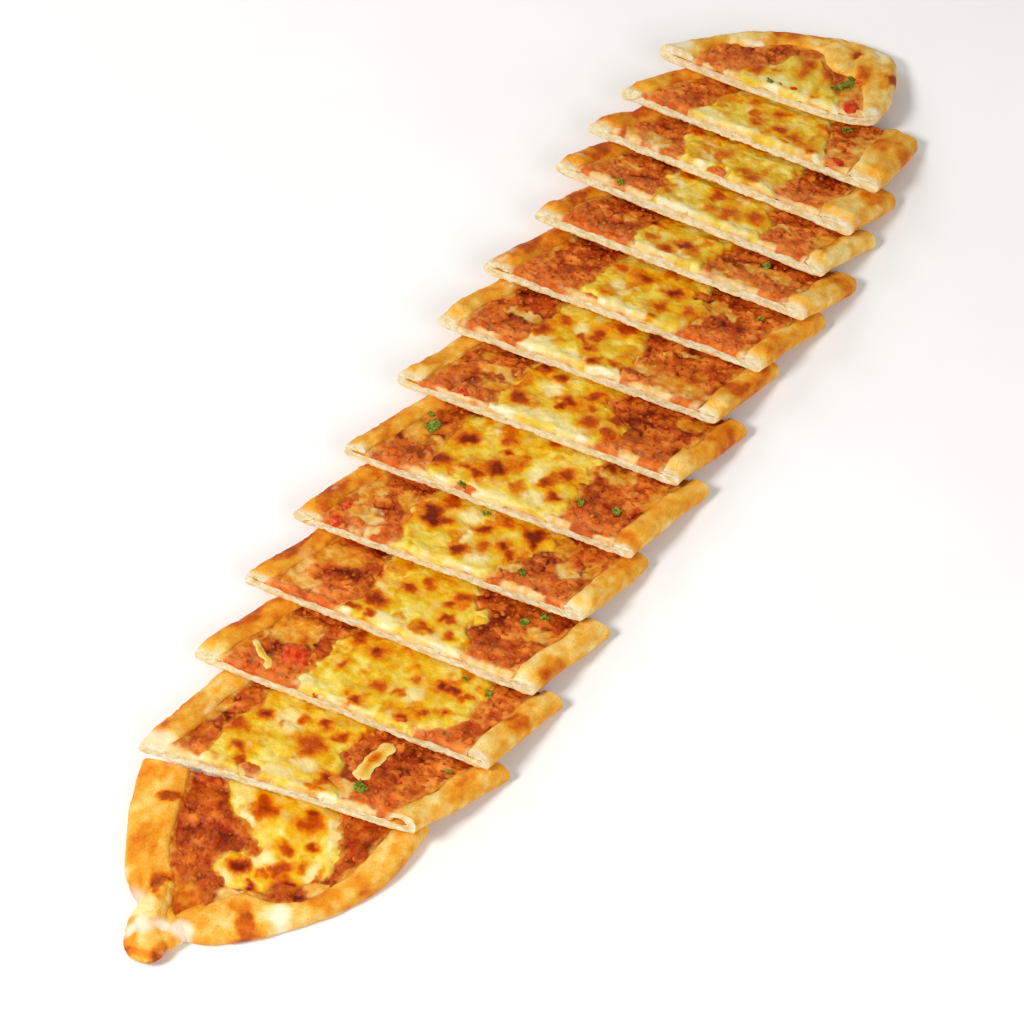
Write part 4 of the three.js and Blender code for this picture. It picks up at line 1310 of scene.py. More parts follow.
# ---- Geometry Nodes ----

def new_node(tree, kind, **values):
    """A node with its settings and the values of its inputs."""
    node = tree.nodes.new(kind)
    for name, value in values.items():
        socket = node.inputs.get(name.replace("_", " "))
        if socket is None:
            setattr(node, name, value)
        else:
            socket.default_value = value
    return node


def link(tree, *pairs):
    """Links the first socket of each pair to the second."""
    for start, end in pairs:
        tree.links.new(start, end)


def in_use(sockets, name=None):
    """The first socket that is in use, or the one of that name."""
    return next(s for s in sockets if s.enabled and name in (None, s.name))


def vector_math(tree, operation, value):
    """A node that does the operation with a vector and the given value."""
    node = new_node(tree, "ShaderNodeVectorMath", operation=operation)
    node.inputs[1].default_value = value
    return node


def scatter_inputs(tree, sizes):
    """The sockets that every scattering tree has, and its own sizes."""
    tree.interface.new_socket("Geometry", in_out="INPUT", socket_type="NodeSocketGeometry")
    tree.interface.new_socket("Geometry", in_out="OUTPUT", socket_type="NodeSocketGeometry")
    for name, kind, default in sizes:
        socket = tree.interface.new_socket(name, in_out="INPUT", socket_type=kind)
        if default is not None:
            socket.default_value = default
    return tree.nodes.new("NodeGroupInput"), tree.nodes.new("NodeGroupOutput")


def lump_shape(tree, number, fineness, rough):
    """A lumpy bit with a radius of about one."""
    ball = new_node(tree, "GeometryNodeMeshIcoSphere", Radius=1.0, Subdivisions=fineness)
    where = tree.nodes.new("GeometryNodeInputPosition")
    shift = vector_math(tree, "ADD", (3.7 * number, 1.9 * number, 5.3))
    noise = new_node(tree, "ShaderNodeTexNoise", Scale=1.5, Detail=1.0)
    centre = vector_math(tree, "SUBTRACT", (0.5, 0.5, 0.5))
    size = new_node(tree, "ShaderNodeVectorMath", operation="SCALE", Scale=rough)
    moved = tree.nodes.new("GeometryNodeSetPosition")
    link(tree, (where.outputs[0], shift.inputs[0]), (shift.outputs[0], noise.inputs["Vector"]),
         (noise.outputs["Color"], centre.inputs[0]), (centre.outputs[0], size.inputs[0]),
         (ball.outputs["Mesh"], moved.inputs["Geometry"]),
         (size.outputs[0], moved.inputs["Offset"]))
    return moved.outputs[0]


def tomato_shape(tree, number):
    """A soft, fairly smooth bit."""
    return lump_shape(tree, number + 4, 4, 0.9)


def leaf_shape(tree, number):
    """A scrap of leaf: a thin, wavy, closed solid about two across."""
    sheet = new_node(tree, "GeometryNodeMeshGrid", Size_X=1.9, Size_Y=1.1 + 0.3 * number,
                     Vertices_X=6, Vertices_Y=5)
    noise = new_node(tree, "ShaderNodeTexNoise", Scale=1.3, Detail=1.0)
    noise.noise_dimensions = "4D"
    noise.inputs["W"].default_value = 2.1 * number
    centre = vector_math(tree, "SUBTRACT", (0.5, 0.5, 0.35))
    size = vector_math(tree, "MULTIPLY", (1.1, 1.1, 1.6))
    moved = tree.nodes.new("GeometryNodeSetPosition")
    thick = new_node(tree, "GeometryNodeExtrudeMesh", Individual=False, Offset_Scale=0.14)
    under = tree.nodes.new("GeometryNodeFlipFaces")
    both = tree.nodes.new("GeometryNodeJoinGeometry")
    merged = new_node(tree, "GeometryNodeMergeByDistance", Distance=0.001)
    link(tree, (noise.outputs["Color"], centre.inputs[0]), (centre.outputs[0], size.inputs[0]),
         (sheet.outputs["Mesh"], moved.inputs["Geometry"]),
         (size.outputs[0], moved.inputs["Offset"]),
         (moved.outputs[0], thick.inputs["Mesh"]), (moved.outputs[0], under.inputs["Mesh"]),
         (thick.outputs["Mesh"], both.inputs[0]), (under.outputs["Mesh"], both.inputs[0]),
         (both.outputs[0], merged.inputs[0]))
    return merged.outputs[0]


GRAIN_TONES = (0.3, 0.65)     # the darkest and the brightest grain


def place_shapes(tree, points, shapes, size, seed, lean, stretch):
    """Puts one of the shapes on each point, turned at random."""
    together = tree.nodes.new("GeometryNodeGeometryToInstance")
    link(tree, *((shape, together.inputs[0]) for shape in shapes))
    turn = new_node(tree, "FunctionNodeRandomValue", data_type="FLOAT_VECTOR")
    turn.inputs["Min"].default_value = (-lean, -lean, 0)
    turn.inputs["Max"].default_value = (lean, lean, 2 * math.pi)
    flat = vector_math(tree, "MULTIPLY", stretch)
    put = new_node(tree, "GeometryNodeInstanceOnPoints", Pick_Instance=True)
    shade = new_node(tree, "FunctionNodeRandomValue", data_type="FLOAT")
    for name, tone in zip(("Min", "Max"), GRAIN_TONES):
        in_use(shade.inputs, name).default_value = tone
    named = new_node(tree, "GeometryNodeStoreNamedAttribute", data_type="FLOAT",
                     domain="INSTANCE", Name="grain")
    link(tree, (seed, turn.inputs["Seed"]), (seed, shade.inputs["Seed"]),
         (size, flat.inputs[0]), (points, put.inputs["Points"]),
         (together.outputs[0], put.inputs["Instance"]), (turn.outputs[0], put.inputs["Rotation"]),
         (flat.outputs[0], put.inputs["Scale"]), (put.outputs[0], named.inputs["Geometry"]),
         (in_use(shade.outputs), in_use(named.inputs, "Value")))
    return named.outputs[0]


def end_tree(tree, inputs, outputs, parts):
    """Joins the parts, makes instances real and sets the material."""
    joined = tree.nodes.new("GeometryNodeJoinGeometry")
    real = tree.nodes.new("GeometryNodeRealizeInstances")
    smooth = tree.nodes.new("GeometryNodeSetShadeSmooth")
    finish = tree.nodes.new("GeometryNodeSetMaterial")
    link(tree, *((part, joined.inputs[0]) for part in parts),
         (joined.outputs[0], real.inputs[0]), (real.outputs[0], smooth.inputs["Geometry"]),
         (smooth.outputs[0], finish.inputs["Geometry"]),
         (inputs.outputs["Material"], finish.inputs["Material"]),
         (finish.outputs[0], outputs.inputs["Geometry"]))


def grain_tree():
    """Strews grains of mince over the open part of a filling."""
    tree = bpy.data.node_groups.new("mince_grains", "GeometryNodeTree")
    inputs, outputs = scatter_inputs(tree, (
        ("Spacing", "NodeSocketFloat", 0.002), ("Density", "NodeSocketFloat", 3e5),
        ("Smallest", "NodeSocketFloat", 0.0006), ("Largest", "NodeSocketFloat", 0.0013),
        ("Seed", "NodeSocketInt", 1), ("Material", "NodeSocketMaterial", None),
    ))
    strewn = new_node(tree, "GeometryNodeDistributePointsOnFaces", distribute_method="POISSON")
    loose = new_node(tree, "GeometryNodeInputNamedAttribute", data_type="FLOAT", Name="loose")
    size = new_node(tree, "FunctionNodeRandomValue", data_type="FLOAT")
    shapes = [lump_shape(tree, number, 2, 1.7) for number in range(5)]
    link(tree, (inputs.outputs["Geometry"], strewn.inputs["Mesh"]),
         (inputs.outputs["Spacing"], strewn.inputs["Distance Min"]),
         (inputs.outputs["Density"], strewn.inputs["Density Max"]),
         (inputs.outputs["Seed"], strewn.inputs["Seed"]),
         (in_use(loose.outputs), strewn.inputs["Density Factor"]),
         (inputs.outputs["Smallest"], in_use(size.inputs, "Min")),
         (inputs.outputs["Largest"], in_use(size.inputs, "Max")),
         (inputs.outputs["Seed"], size.inputs["Seed"]))
    grains = place_shapes(tree, strewn.outputs["Points"], shapes, in_use(size.outputs),
                          inputs.outputs["Seed"], 0.7, (1.4, 1.0, 0.55))
    end_tree(tree, inputs, outputs, (inputs.outputs["Geometry"], grains))
    return tree


def bits_tree(name, shape, shapes, lean, stretch):
    """Puts a bit on each point of a mesh, as large as the point's own size says."""
    tree = bpy.data.node_groups.new(name, "GeometryNodeTree")
    inputs, outputs = scatter_inputs(tree, (
        ("Seed", "NodeSocketInt", 1), ("Material", "NodeSocketMaterial", None),
    ))
    size = new_node(tree, "GeometryNodeInputNamedAttribute", data_type="FLOAT", Name="size")
    made = [shape(tree, number) for number in range(shapes)]
    bits = place_shapes(tree, inputs.outputs["Geometry"], made, in_use(size.outputs),
                        inputs.outputs["Seed"], lean, stretch)
    end_tree(tree, inputs, outputs, (bits,))
    return tree


def grown(mesh, tree, values):
    """The mesh that a tree makes of another mesh, with named inputs set."""
    carrier = new_object("carrier", mesh)
    modifier = carrier.modifiers.new(tree.name, "NODES")
    modifier.node_group = tree
    for item in tree.interface.items_tree:
        if item.in_out == "INPUT" and item.name in values:
            modifier[item.identifier] = values[item.name]
    made = evaluated_mesh(carrier)
    carrier.modifiers.remove(modifier)
    bpy.data.objects.remove(carrier)
    bpy.data.meshes.remove(mesh)
    if not made.polygons:
        raise RuntimeError(f"{tree.name} made no faces")
    return made


# ---- Materials ----

def linear(hexed):
    """An sRGB colour such as #d8a050 as linear red, green, blue and alpha."""
    parts = [int(hexed[i:i + 2], 16) / 255 for i in (1, 3, 5)]
    return [c / 12.92 if c <= 0.04045 else ((c + 0.055) / 1.055) ** 2.4 for c in parts] + [1.0]


def patch_group():
    """Shader group: soft patches of a given size, as a mask from 0 to 1."""
    tree = bpy.data.node_groups.new("patches", "ShaderNodeTree")
    for name, default in (("Size", 0.005), ("Detail", 2.0), ("Low", 0.4), ("High", 0.6)):
        socket = tree.interface.new_socket(name, in_out="INPUT", socket_type="NodeSocketFloat")
        socket.default_value = default
    tree.interface.new_socket("Mask", in_out="OUTPUT", socket_type="NodeSocketFloat")
    inputs, outputs = tree.nodes.new("NodeGroupInput"), tree.nodes.new("NodeGroupOutput")
    where = tree.nodes.new("ShaderNodeTexCoord")
    scale = new_node(tree, "ShaderNodeMath", operation="DIVIDE")
    scale.inputs[0].default_value = 1.0
    noise = tree.nodes.new("ShaderNodeTexNoise")
    spread = tree.nodes.new("ShaderNodeMapRange")
    link(tree, (inputs.outputs["Size"], scale.inputs[1]),
         (scale.outputs[0], noise.inputs["Scale"]),
         (where.outputs["Object"], noise.inputs["Vector"]),
         (inputs.outputs["Detail"], noise.inputs["Detail"]),
         (noise.outputs["Fac"], spread.inputs["Value"]),
         (inputs.outputs["Low"], spread.inputs["From Min"]),
         (inputs.outputs["High"], spread.inputs["From Max"]),
         (spread.outputs["Result"], outputs.inputs["Mask"]))
    return tree


class Finish:
    """Builds one material from patches, marks on the mesh and blended colours."""

    def __init__(self, name, patches):
        self.material = bpy.data.materials.new(name)
        self.material.use_nodes = True
        self.tree = self.material.node_tree
        self.shader = self.tree.nodes["Principled BSDF"]
        self.patches = patches

    def patch(self, size, low=0.4, high=0.6, detail=2.0):
        node = new_node(self.tree, "ShaderNodeGroup", node_tree=self.patches,
                        Size=size * MM, Detail=detail, Low=low, High=high)
        return node.outputs["Mask"]

    def mark(self, name):
        return new_node(self.tree, "ShaderNodeAttribute", attribute_name=name).outputs["Fac"]

    def math(self, operation, first, second, clamp=False):
        node = new_node(self.tree, "ShaderNodeMath", operation=operation, use_clamp=clamp)
        for socket, value in zip(node.inputs, (first, second)):
            self.put(value, socket)
        return node.outputs[0]

    def plus(self, first, second, clamp=False):
        return self.math("ADD", first, second, clamp)

    def less(self, first, second):
        return self.math("SUBTRACT", first, second)

    def times(self, first, second):
        return self.math("MULTIPLY", first, second)

    def varied(self, value, patch, much, clamp=False):
        """The value, raised where the patch is over a half and lowered where it is under."""
        return self.plus(value, self.times(self.less(patch, 0.5), much), clamp)

    def between(self, value, low, high):
        """0 below low, 1 above high."""
        node = new_node(self.tree, "ShaderNodeMapRange", interpolation_type="SMOOTHSTEP",
                        From_Min=low, From_Max=high)
        self.put(value, node.inputs["Value"])
        return node.outputs["Result"]

    def put(self, value, socket):
        if isinstance(value, bpy.types.NodeSocket):
            self.tree.links.new(value, socket)
        elif isinstance(value, str):
            socket.default_value = linear(value)
        else:
            socket.default_value = value

    def blend(self, share, first, second, kind="MIX"):
        node = new_node(self.tree, "ShaderNodeMix", data_type="RGBA", blend_type=kind)
        self.put(share, node.inputs[0])
        self.put(first, node.inputs[6])
        self.put(second, node.inputs[7])
        return node.outputs[2]

    def ramp(self, value, stops):
        node = self.tree.nodes.new("ShaderNodeValToRGB")
        self.put(value, node.inputs[0])
        elements = node.color_ramp.elements
        while len(elements) < len(stops):
            elements.new(0.5)
        for element, (place, colour) in zip(elements, stops):
            element.position = place
            element.color = linear(colour) if isinstance(colour, str) else colour
        return node.outputs[0]

    def bump(self, height, depth):
        node = new_node(self.tree, "ShaderNodeBump", Strength=1.0, Distance=depth * MM)
        self.put(height, node.inputs["Height"])
        self.put(node.outputs[0], self.shader.inputs["Normal"])

    def finish(self, colour, roughness, **values):
        self.put(colour, self.shader.inputs["Base Color"])
        self.put(roughness, self.shader.inputs["Roughness"])
        for name, value in values.items():
            self.shader.inputs[name.replace("_", " ")].default_value = value
        return self.material

    def soft_finish(self, colour, roughness, soft, shine):
        """A finish that lets a share of the light into the food."""
        return self.finish(colour, roughness, Subsurface_Weight=soft, Specular_IOR_Level=shine,
                           Subsurface_Radius=SOFT_LIGHT, Subsurface_Scale=1.0)


SOFT_LIGHT = (0.0016, 0.0009, 0.0005)     # how far light goes into the food, in metres


def rgb(colour):
    return [*colour, 1.0]


def dough_material(settings, patches):
    made = Finish("baked_dough", patches)
    toast = made.varied(made.mark("toast"), made.patch(4.5, 0.25, 0.75), 0.22)
    toast = made.varied(toast, made.patch(1.1, 0.3, 0.7), 0.1, clamp=True)
    crust = made.ramp(toast, (
        (0.0, rgb(settings.pale)), (0.22, "#f0c66a"), (0.42, rgb(settings.golden)),
        (0.62, "#e08818"), (0.82, "#ca5a08"), (1.0, rgb(settings.browned))))
    specks = made.patch(0.8, 0.66, 0.73, 1.0)
    crust = made.blend(made.times(specks, 0.5), crust, "#a8621c")
    crust = made.blend(made.times(made.mark("flour"), 0.8), crust, "#f8efd8")
    crumb = made.blend(made.patch(3.5, 0.4, 0.62), rgb(settings.crumb), "#dfcc96")
    crumb = made.blend(made.times(made.patch(0.9, 0.5, 0.68), 0.4), crumb, "#c9a870")
    # Painted shade in the pores and dents of the crumb, from the mark that follows its sunken
    # relief.
    crumb = made.blend(made.between(made.mark("pit"), 0.2, 1.0), crumb, "#d0b078")
    share = made.between(made.mark("crumb"), 0.15, 0.6)
    colour = made.blend(share, crust, crumb)
    made.bump(made.plus(made.patch(0.8, 0.2, 0.8, 3.0), made.patch(2.5, 0.2, 0.8)), 0.14)
    rough = made.plus(made.times(share, 0.25), 0.58)
    return made.soft_finish(colour, rough, 0.06, 0.14)


def filling_material(settings, patches):
    made = Finish("minced_filling", patches)
    grain = made.varied(made.mark("grain"), made.patch(1.6, 0.3, 0.7, 2.0), 0.16)
    grain = made.varied(grain, made.patch(6.0, 0.35, 0.65), 0.3, clamp=True)
    # Low grain tones, which hold the painted shade of the crevices, run to the dark meat colour.
    meat = made.ramp(grain, (
        (0.0, "#661c02"), (0.25, rgb(settings.dark)), (0.5, rgb(settings.meat)),
        (0.75, "#d66e1e"), (1.0, "#e68c3a")))
    red = made.times(made.patch(6.5, 0.52, 0.64), 0.5)
    meat = made.blend(red, meat, "#b42a0c")
    bright = made.blend(made.patch(4.5, 0.4, 0.58), rgb(settings.bright), "#e88a40")
    # Near the cut the meat turns bright: partly its own colour, partly painted light against the
    # darker, shaded far part.
    meat = made.blend(made.times(made.mark("fresh"), 0.6), meat, bright)
    oily = made.varied(made.mark("oil"), made.patch(3.5, 0.3, 0.7), 0.3, clamp=True)
    film = made.ramp(oily, (
        (0.0, "#f6e2a8"), (0.25, "#eec468"), (0.45, rgb(settings.film)), (0.7, "#c8600a"),
        (1.0, "#7a2806")))
    covered = made.varied(made.mark("film"), made.patch(3.2, 0.3, 0.7, 3.0), 0.3)
    covered = made.times(made.between(covered, 0.06, 0.8), 0.8)
    colour = made.blend(covered, meat, film)
    bare = made.less(1.0, made.times(covered, 0.8))
    made.bump(made.times(made.patch(1.6, 0.2, 0.8, 2.0), bare), 0.3)
    rough = made.less(0.38, made.times(covered, 0.12))
    return made.soft_finish(colour, rough, 0.08, 0.13)


def cheese_material(settings, patches):
    made = Finish("melted_cheese", patches)
    brown = made.varied(made.mark("brown"), made.patch(1.5, 0.3, 0.7), 0.1)
    brown = made.varied(brown, made.patch(8.0, 0.3, 0.7), 0.1, clamp=True)
    thin = made.less(1.0, made.between(made.mark("depth"), 0.0, 0.9))
    brown = made.plus(brown, made.times(thin, 0.08), clamp=True)
    roasted = made.ramp(brown, (
        (0.0, "#f2e096"), (0.15, "#ecce54"), (0.31, rgb(settings.yellow)), (0.46, "#e09c08"),
        (0.6, rgb(settings.roasted)), (0.76, "#be4a04"), (1.0, "#741e04")))
    pale = made.math("MAXIMUM", made.mark("fresh"), made.times(made.patch(7.0, 0.52, 0.75), 0.4))
    pale = made.times(pale, made.less(1.0, made.between(brown, 0.4, 0.6)))
    pale = made.times(pale, made.plus(0.5, made.times(made.patch(3.0, 0.35, 0.6), 0.4)))
    colour = made.blend(pale, roasted, rgb(settings.pale))
    white = made.times(made.between(made.mark("fresh"), 0.9, 1.0), 0.5)
    colour = made.blend(white, colour, "#faf4dc")
    made.bump(made.plus(made.patch(1.6, 0.2, 0.8), made.patch(4.0, 0.2, 0.8)), 0.2)
    rough = made.less(0.36, made.times(brown, 0.14))
    return made.soft_finish(colour, rough, 0.1, 0.14)


def herb_material(settings, patches):
    made = Finish("green_herb", patches)
    colour = made.blend(made.patch(1.2), rgb(settings.herb), "#515a10")
    made.bump(made.patch(0.5), 0.1)
    return made.finish(colour, 0.45, Specular_IOR_Level=0.2)


def tomato_material(settings, patches):
    made = Finish("cooked_tomato", patches)
    colour = made.blend(made.patch(3.0), rgb(settings.tomato), "#dc5a1e")
    made.bump(made.patch(2.0), 0.12)
    return made.finish(colour, 0.3, Specular_IOR_Level=0.2)


def floor_material(settings, patches):
    made = Finish("pale_floor", patches)
    colour = made.blend(made.patch(90.0, 0.2, 0.8), rgb(settings.floor), "#f7f6f3")
    return made.finish(colour, 0.9)


# ---- Settings ----

def colour_property(name, hexed, description):
    return bpy.props.FloatVectorProperty(
        name=name, subtype="COLOR", size=3, min=0, max=1, default=linear(hexed)[:3],
        description=description)


def length_property(name, millimetres, description):
    return bpy.props.FloatProperty(
        name=name, unit="LENGTH", default=millimetres * MM, min=0, precision=5,
        description=description)


class PideDoughSettings(bpy.types.PropertyGroup):
    crust_relief: length_property("Crust relief", 0.42, "Height of the lumps of the crust")
    pale: colour_property("Pale crust", "#f5dc98", "Crust that is hardly baked")
    golden: colour_property("Golden crust", "#eaa632", "Crust as most of it is")
    browned: colour_property("Browned crust", "#9c400a", "Darkest patches of the crust")
    crumb: colour_property("Crumb", "#e9e2c2", "Inside of the dough at a cut")


class PideFillingSettings(bpy.types.PropertyGroup):
    spacing: length_property("Spacing", 3.8, "Least distance between loose grains")
    smallest: length_property("Smallest grain", 0.5, "Half width of the smallest grain")
    largest: length_property("Largest grain", 1.05, "Half width of the largest grain")
    seed: bpy.props.IntProperty(name="Seed", default=7, description="Sets where grains lie")
    # Dark meat is partly the meat's own darker tone and partly painted shade in the hollows
    # between the clumps.
    dark: colour_property("Dark meat", "#9a380a", "Meat in the hollows")
    meat: colour_property("Meat", "#bb5414", "Meat as most of it is")
    # Bright meat is partly the meat's own colour at the cut and partly painted light, which leaves
    # the far part looking shaded.
    bright: colour_property("Bright meat", "#e2621a", "Meat close to the cuts")
    film: colour_property("Film", "#e29c28", "Oil and thin cheese over the meat")


class PideCheeseSettings(bpy.types.PropertyGroup):
    thickness: length_property("Thickness", 1.15, "Thickness of the cheese")
    yellow: colour_property("Yellow", "#e4b626", "Cheese as most of it is")
    roasted: colour_property("Roasted", "#d87406", "Rings round the browned spots")
    pale: colour_property("Pale", "#f3e3a8", "Cheese at the cuts and where it is thick")


class PideToppingSettings(bpy.types.PropertyGroup):
    seed: bpy.props.IntProperty(name="Seed", default=3, description="Turns the bits")
    herb: colour_property("Herb", "#8f9a22", "Parsley and pepper")
    tomato: colour_property("Tomato", "#c42a08", "Bits of tomato")


class PideStageSettings(bpy.types.PropertyGroup):
    floor: colour_property("Floor", "#fbfaf8", "Floor under the pide")
    lens: bpy.props.FloatProperty(
        name="Lens", default=134.6, min=20, max=300, description="Focal length in millimetres")
    key_power: bpy.props.FloatProperty(
        name="Key light", unit="POWER", default=22.3, min=0, description="Power of the main light")


# ---- Operators ----

def shared_patches():
    """The shader group that all materials share, built once."""
    return bpy.data.node_groups.get("patches") or patch_group()


class PIDE_OT_dough(bpy.types.Operator):
    """Makes the dough of each slice, with its folded rims, crust and crumb"""
    bl_idname = "pide.dough"
    bl_label = "Dough"

    def execute(self, context):
        settings = context.scene.pide_dough
        material = dough_material(settings, shared_patches())
        for piece in lay_slices():
            make = pointed_dough if piece.pointed else full_dough
            shell = make(piece, settings)
            if piece.number == 1:
                add_knot(shell, piece, settings)
            name = f"dough_{piece.number:02d}"
            mesh = shell.mesh(name, piece.in_metres)
            finished(f"baked_{name}", mesh, material, [name])
        return {"FINISHED"}


class PIDE_OT_filling(bpy.types.Operator):
    """Makes the minced filling of each slice and strews grains over it"""
    bl_idname = "pide.filling"
    bl_label = "Filling"

    def execute(self, context):
        settings = context.scene.pide_filling
        material = filling_material(settings, shared_patches())
        tree = grain_tree()
        for piece in lay_slices():
            name = f"filling_{piece.number:02d}"
            mesh = filling_shell(piece).mesh(name, piece.in_metres)
            mesh = grown(mesh, tree, {
                "Spacing": settings.spacing, "Smallest": settings.smallest,
                "Largest": settings.largest, "Seed": settings.seed + piece.number,
                "Material": material,
            })
            finished(f"minced_{name}", mesh, material, [name])
        return {"FINISHED"}


class PIDE_OT_cheese(bpy.types.Operator):
    """Makes the melted cheese of each slice"""
    bl_idname = "pide.cheese"
    bl_label = "Cheese"

    def execute(self, context):
        settings = context.scene.pide_cheese
        material = cheese_material(settings, shared_patches())
        for piece in lay_slices():
            name = f"cheese_{piece.number:02d}"
            mesh = cheese_shell(piece, settings).mesh(name, piece.in_metres)
            finished(f"melted_{name}", mesh, material, [name])
        return {"FINISHED"}


def top_of(piece, y, x, melt):
    """A point on top of the filling or cheese of a slice."""
    flat = piece.marked(y, x)[None]
    topping = Topping(piece)
    height = topping.mince(flat)[0][0]
    share = np.clip(topping.cheese_depth(flat)[0] / CHEESE_FULL, 0, 1)
    return np.array([*flat[0], max(height, FILLING_TOP + melt * share)])


def strip(route, width, thick):
    """A shred of cheese: a flattened, rounded strip along its route."""
    middle = evenly(route, max(12, 6 * len(route)))
    side = np.cross(heading(middle), (0, 0, 1.0))
    angle = np.linspace(0, 2 * np.pi, 13)
    share = np.linspace(0, 1, len(middle))
    swell = np.clip(np.sin(np.pi * share) * 3.5, 0, 1) ** 0.5 * (0.9 + 0.15 * wave(3, 3 * share))
    ring = side[:, None] * np.cos(angle)[None, :, None] * width / 2
    ring = ring + np.array((0, 0, 1.0)) * np.sin(angle)[None, :, None] * thick / 2
    return middle[:, None] + ring * swell[:, None, None]


def add_bits(row, settings, melt, name, places, shape, finish, lift, lean, stretch):
    """Makes one kind of bit: a point for each, which grows into a shape."""
    points = []
    for number, y, x, _ in places:
        point = top_of(row[number], y, x, melt) + (0, 0, lift)
        points.append(row[number].in_metres(point))
    mesh = bpy.data.meshes.new(name)
    mesh.from_pydata(points, [], [])
    sizes = mesh.attributes.new("size", "FLOAT", "POINT")
    half_sizes = np.array([size * 0.5 * MM for *_, size in places], np.float32)
    sizes.data.foreach_set("value", half_sizes)
    material = finish(settings, shared_patches())
    tree = bits_tree(name, shape, BIT_SHAPES, lean, stretch)
    mesh = grown(mesh, tree, {"Seed": settings.seed, "Material": material})
    finished(name, mesh, material)


def add_shred(name, piece, melt, route, width, roast):
    """Makes a loose shred of cheese that lies along its route."""
    points = [top_of(piece, y, x, melt) + (0, 0, SHRED_LIFT) for y, x in route]
    rings = strip(points, width, SHRED_THICK)
    onward = np.sin(np.pi * np.linspace(0, 1, len(rings)))[:, None]
    top = np.clip(np.sin(np.linspace(0, 2 * np.pi, rings.shape[1])), 0, 1)[None] ** 3
    mottle = lumps(rings.reshape(-1, 3), 5, 5).reshape(rings.shape[:2])
    toasted = roast * onward ** 0.5 * top + 0.2 * mottle + 0.16
    shell = Shell()
    shell.grid(rings, brown=toasted, depth=1.4, fresh=0.5 * (1 - top * onward))
    mesh = shell.mesh("shred", piece.in_metres)
    finished(name, mesh, bpy.data.materials["melted_cheese"])


BIT_SHAPES = 3            # different shapes of each kind of bit
# Each kind: name, places, shape, material, lift in mm, lean in radians and stretch.
BITS = (
    ("herbs", HERBS, leaf_shape, herb_material, 0.3, 0.5, (1.0, 1.0, 1.0)),
    ("tomato_bits", TOMATO, tomato_shape, tomato_material, -0.2, 0.3, (1.15, 1.0, 0.36)),
)


class PIDE_OT_bits(bpy.types.Operator):
    """Adds herbs, bits of tomato and loose shreds of cheese"""
    bl_idname = "pide.bits"
    bl_label = "Herbs, tomato and shreds"

    def execute(self, context):
        settings = context.scene.pide_bits
        melt = context.scene.pide_cheese.thickness / MM
        row = {piece.number: piece for piece in lay_slices()}
        for kind in BITS:
            add_bits(row, settings, melt, *kind)
        for i, (number, *shred) in enumerate(SHREDS):
            add_shred(f"cheese_shred_{i + 1}", row[number], melt, *shred)
        return {"FINISHED"}


# ---- Stage, in metres ----

FLOOR_HALF = 2.0
FLOOR_DROP = 0.0002       # from the underside of the pide to the floor
CAMERA_PLACE = (-0.9369, -0.5277, 1.3948)
CAMERA_AIM = (-0.0266, -0.0021, 0.0)
SENSOR_WIDTH = 36         # in millimetres, as the lens is
CAMERA_CLIP = (0.05, 20)
# Each light: name, place, size and its share of the key light's power.
LIGHTS = (
    ("key", (-1.1, 0.55, 1.35), 0.5, 1.0),
    ("fill", (-0.6, -1.3, 1.0), 1.2, 0.55),
    ("back", (0.6, 1.5, 1.0), 0.9, 0.4),
)
SKY = 0.29                # strength of the light from all sides
SKY_COLOUR = (1, 0.99, 0.97, 1)


def add_floor(settings):
    mesh = bpy.data.meshes.new("floor")
    half = FLOOR_HALF
    corners = [(-half, -half), (half, -half), (half, half), (-half, half)]
    mesh.from_pydata([(x, y, -FLOOR_DROP) for x, y in corners], [], [(0, 1, 2, 3)])
    mesh.materials.append(floor_material(settings, shared_patches()))
    floor = new_object("floor", mesh)


def aimed(name, data, place, aim):
    """A light or a camera, turned towards what it is aimed at."""
    thing = new_object(name, data)
    thing.location = place
    direction = Vector(aim) - Vector(place)
    thing.rotation_euler = direction.to_track_quat("-Z", "Y").to_euler()
    return thing


def add_lights(settings):
    for name, place, size, share in LIGHTS:
        light = bpy.data.lights.new(name, "AREA")
        light.shape = "DISK"
        light.size = size
        light.energy = settings.key_power * share
        aimed(name, light, place, (0, 0, 0))
    world = bpy.data.worlds.new("soft_sky")
    world.use_nodes = True
    sky = world.node_tree.nodes["Background"]
    sky.inputs["Color"].default_value = SKY_COLOUR
    sky.inputs["Strength"].default_value = SKY
    bpy.context.scene.world = world


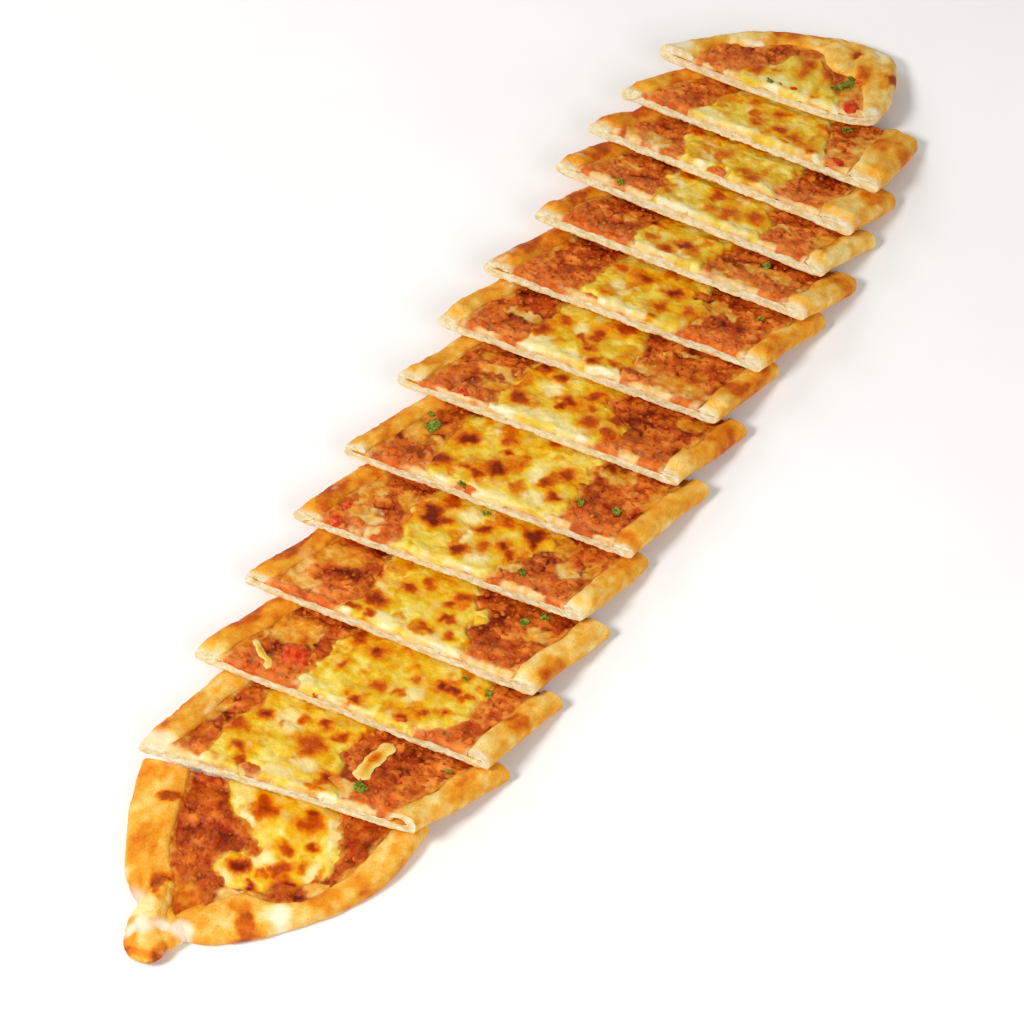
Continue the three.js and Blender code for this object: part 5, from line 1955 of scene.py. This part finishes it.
def add_camera(settings):
    camera = bpy.data.cameras.new("camera")
    camera.sensor_width = SENSOR_WIDTH
    camera.lens = settings.lens
    camera.clip_start, camera.clip_end = CAMERA_CLIP
    bpy.context.scene.camera = aimed("camera", camera, CAMERA_PLACE, CAMERA_AIM)


class PIDE_OT_stage(bpy.types.Operator):
    """Adds the floor, soft studio light and the camera"""
    bl_idname = "pide.stage"
    bl_label = "Floor, light and camera"

    def execute(self, context):
        settings = context.scene.pide_stage
        add_floor(settings)
        add_lights(settings)
        add_camera(settings)
        context.scene.view_settings.view_transform = "Standard"
        return {"FINISHED"}


# ---- Panel and registration ----

class PIDE_PT_panel(bpy.types.Panel):
    """Sizes, colours and steps of the pide"""
    bl_label = "Pide"
    bl_idname = "PIDE_PT_panel"
    bl_space_type = "VIEW_3D"
    bl_region_type = "UI"
    bl_category = "Pide"

    def draw(self, context):
        for setting, step in STEPS:
            box = self.layout.box()
            box.operator(step.bl_idname)
            group = getattr(context.scene, setting)
            for name in group.__annotations__:
                box.prop(group, name)


STEPS = (
    ("pide_dough", PIDE_OT_dough), ("pide_filling", PIDE_OT_filling),
    ("pide_cheese", PIDE_OT_cheese), ("pide_bits", PIDE_OT_bits),
    ("pide_stage", PIDE_OT_stage),
)
GROUPS = (
    ("pide_dough", PideDoughSettings), ("pide_filling", PideFillingSettings),
    ("pide_cheese", PideCheeseSettings), ("pide_bits", PideToppingSettings),
    ("pide_stage", PideStageSettings),
)


def register():
    for _, group in GROUPS:
        bpy.utils.register_class(group)
    for name, group in GROUPS:
        setattr(bpy.types.Scene, name, bpy.props.PointerProperty(type=group))
    for _, step in STEPS:
        bpy.utils.register_class(step)
    bpy.utils.register_class(PIDE_PT_panel)


def unregister():
    bpy.utils.unregister_class(PIDE_PT_panel)
    for _, step in reversed(STEPS):
        bpy.utils.unregister_class(step)
    for name, group in reversed(GROUPS):
        delattr(bpy.types.Scene, name)
        bpy.utils.unregister_class(group)


def main():
    register()
    bpy.ops.pide.dough()
    bpy.ops.pide.filling()
    bpy.ops.pide.cheese()
    bpy.ops.pide.bits()
    bpy.ops.pide.stage()


if __name__ == "__main__":
    main()
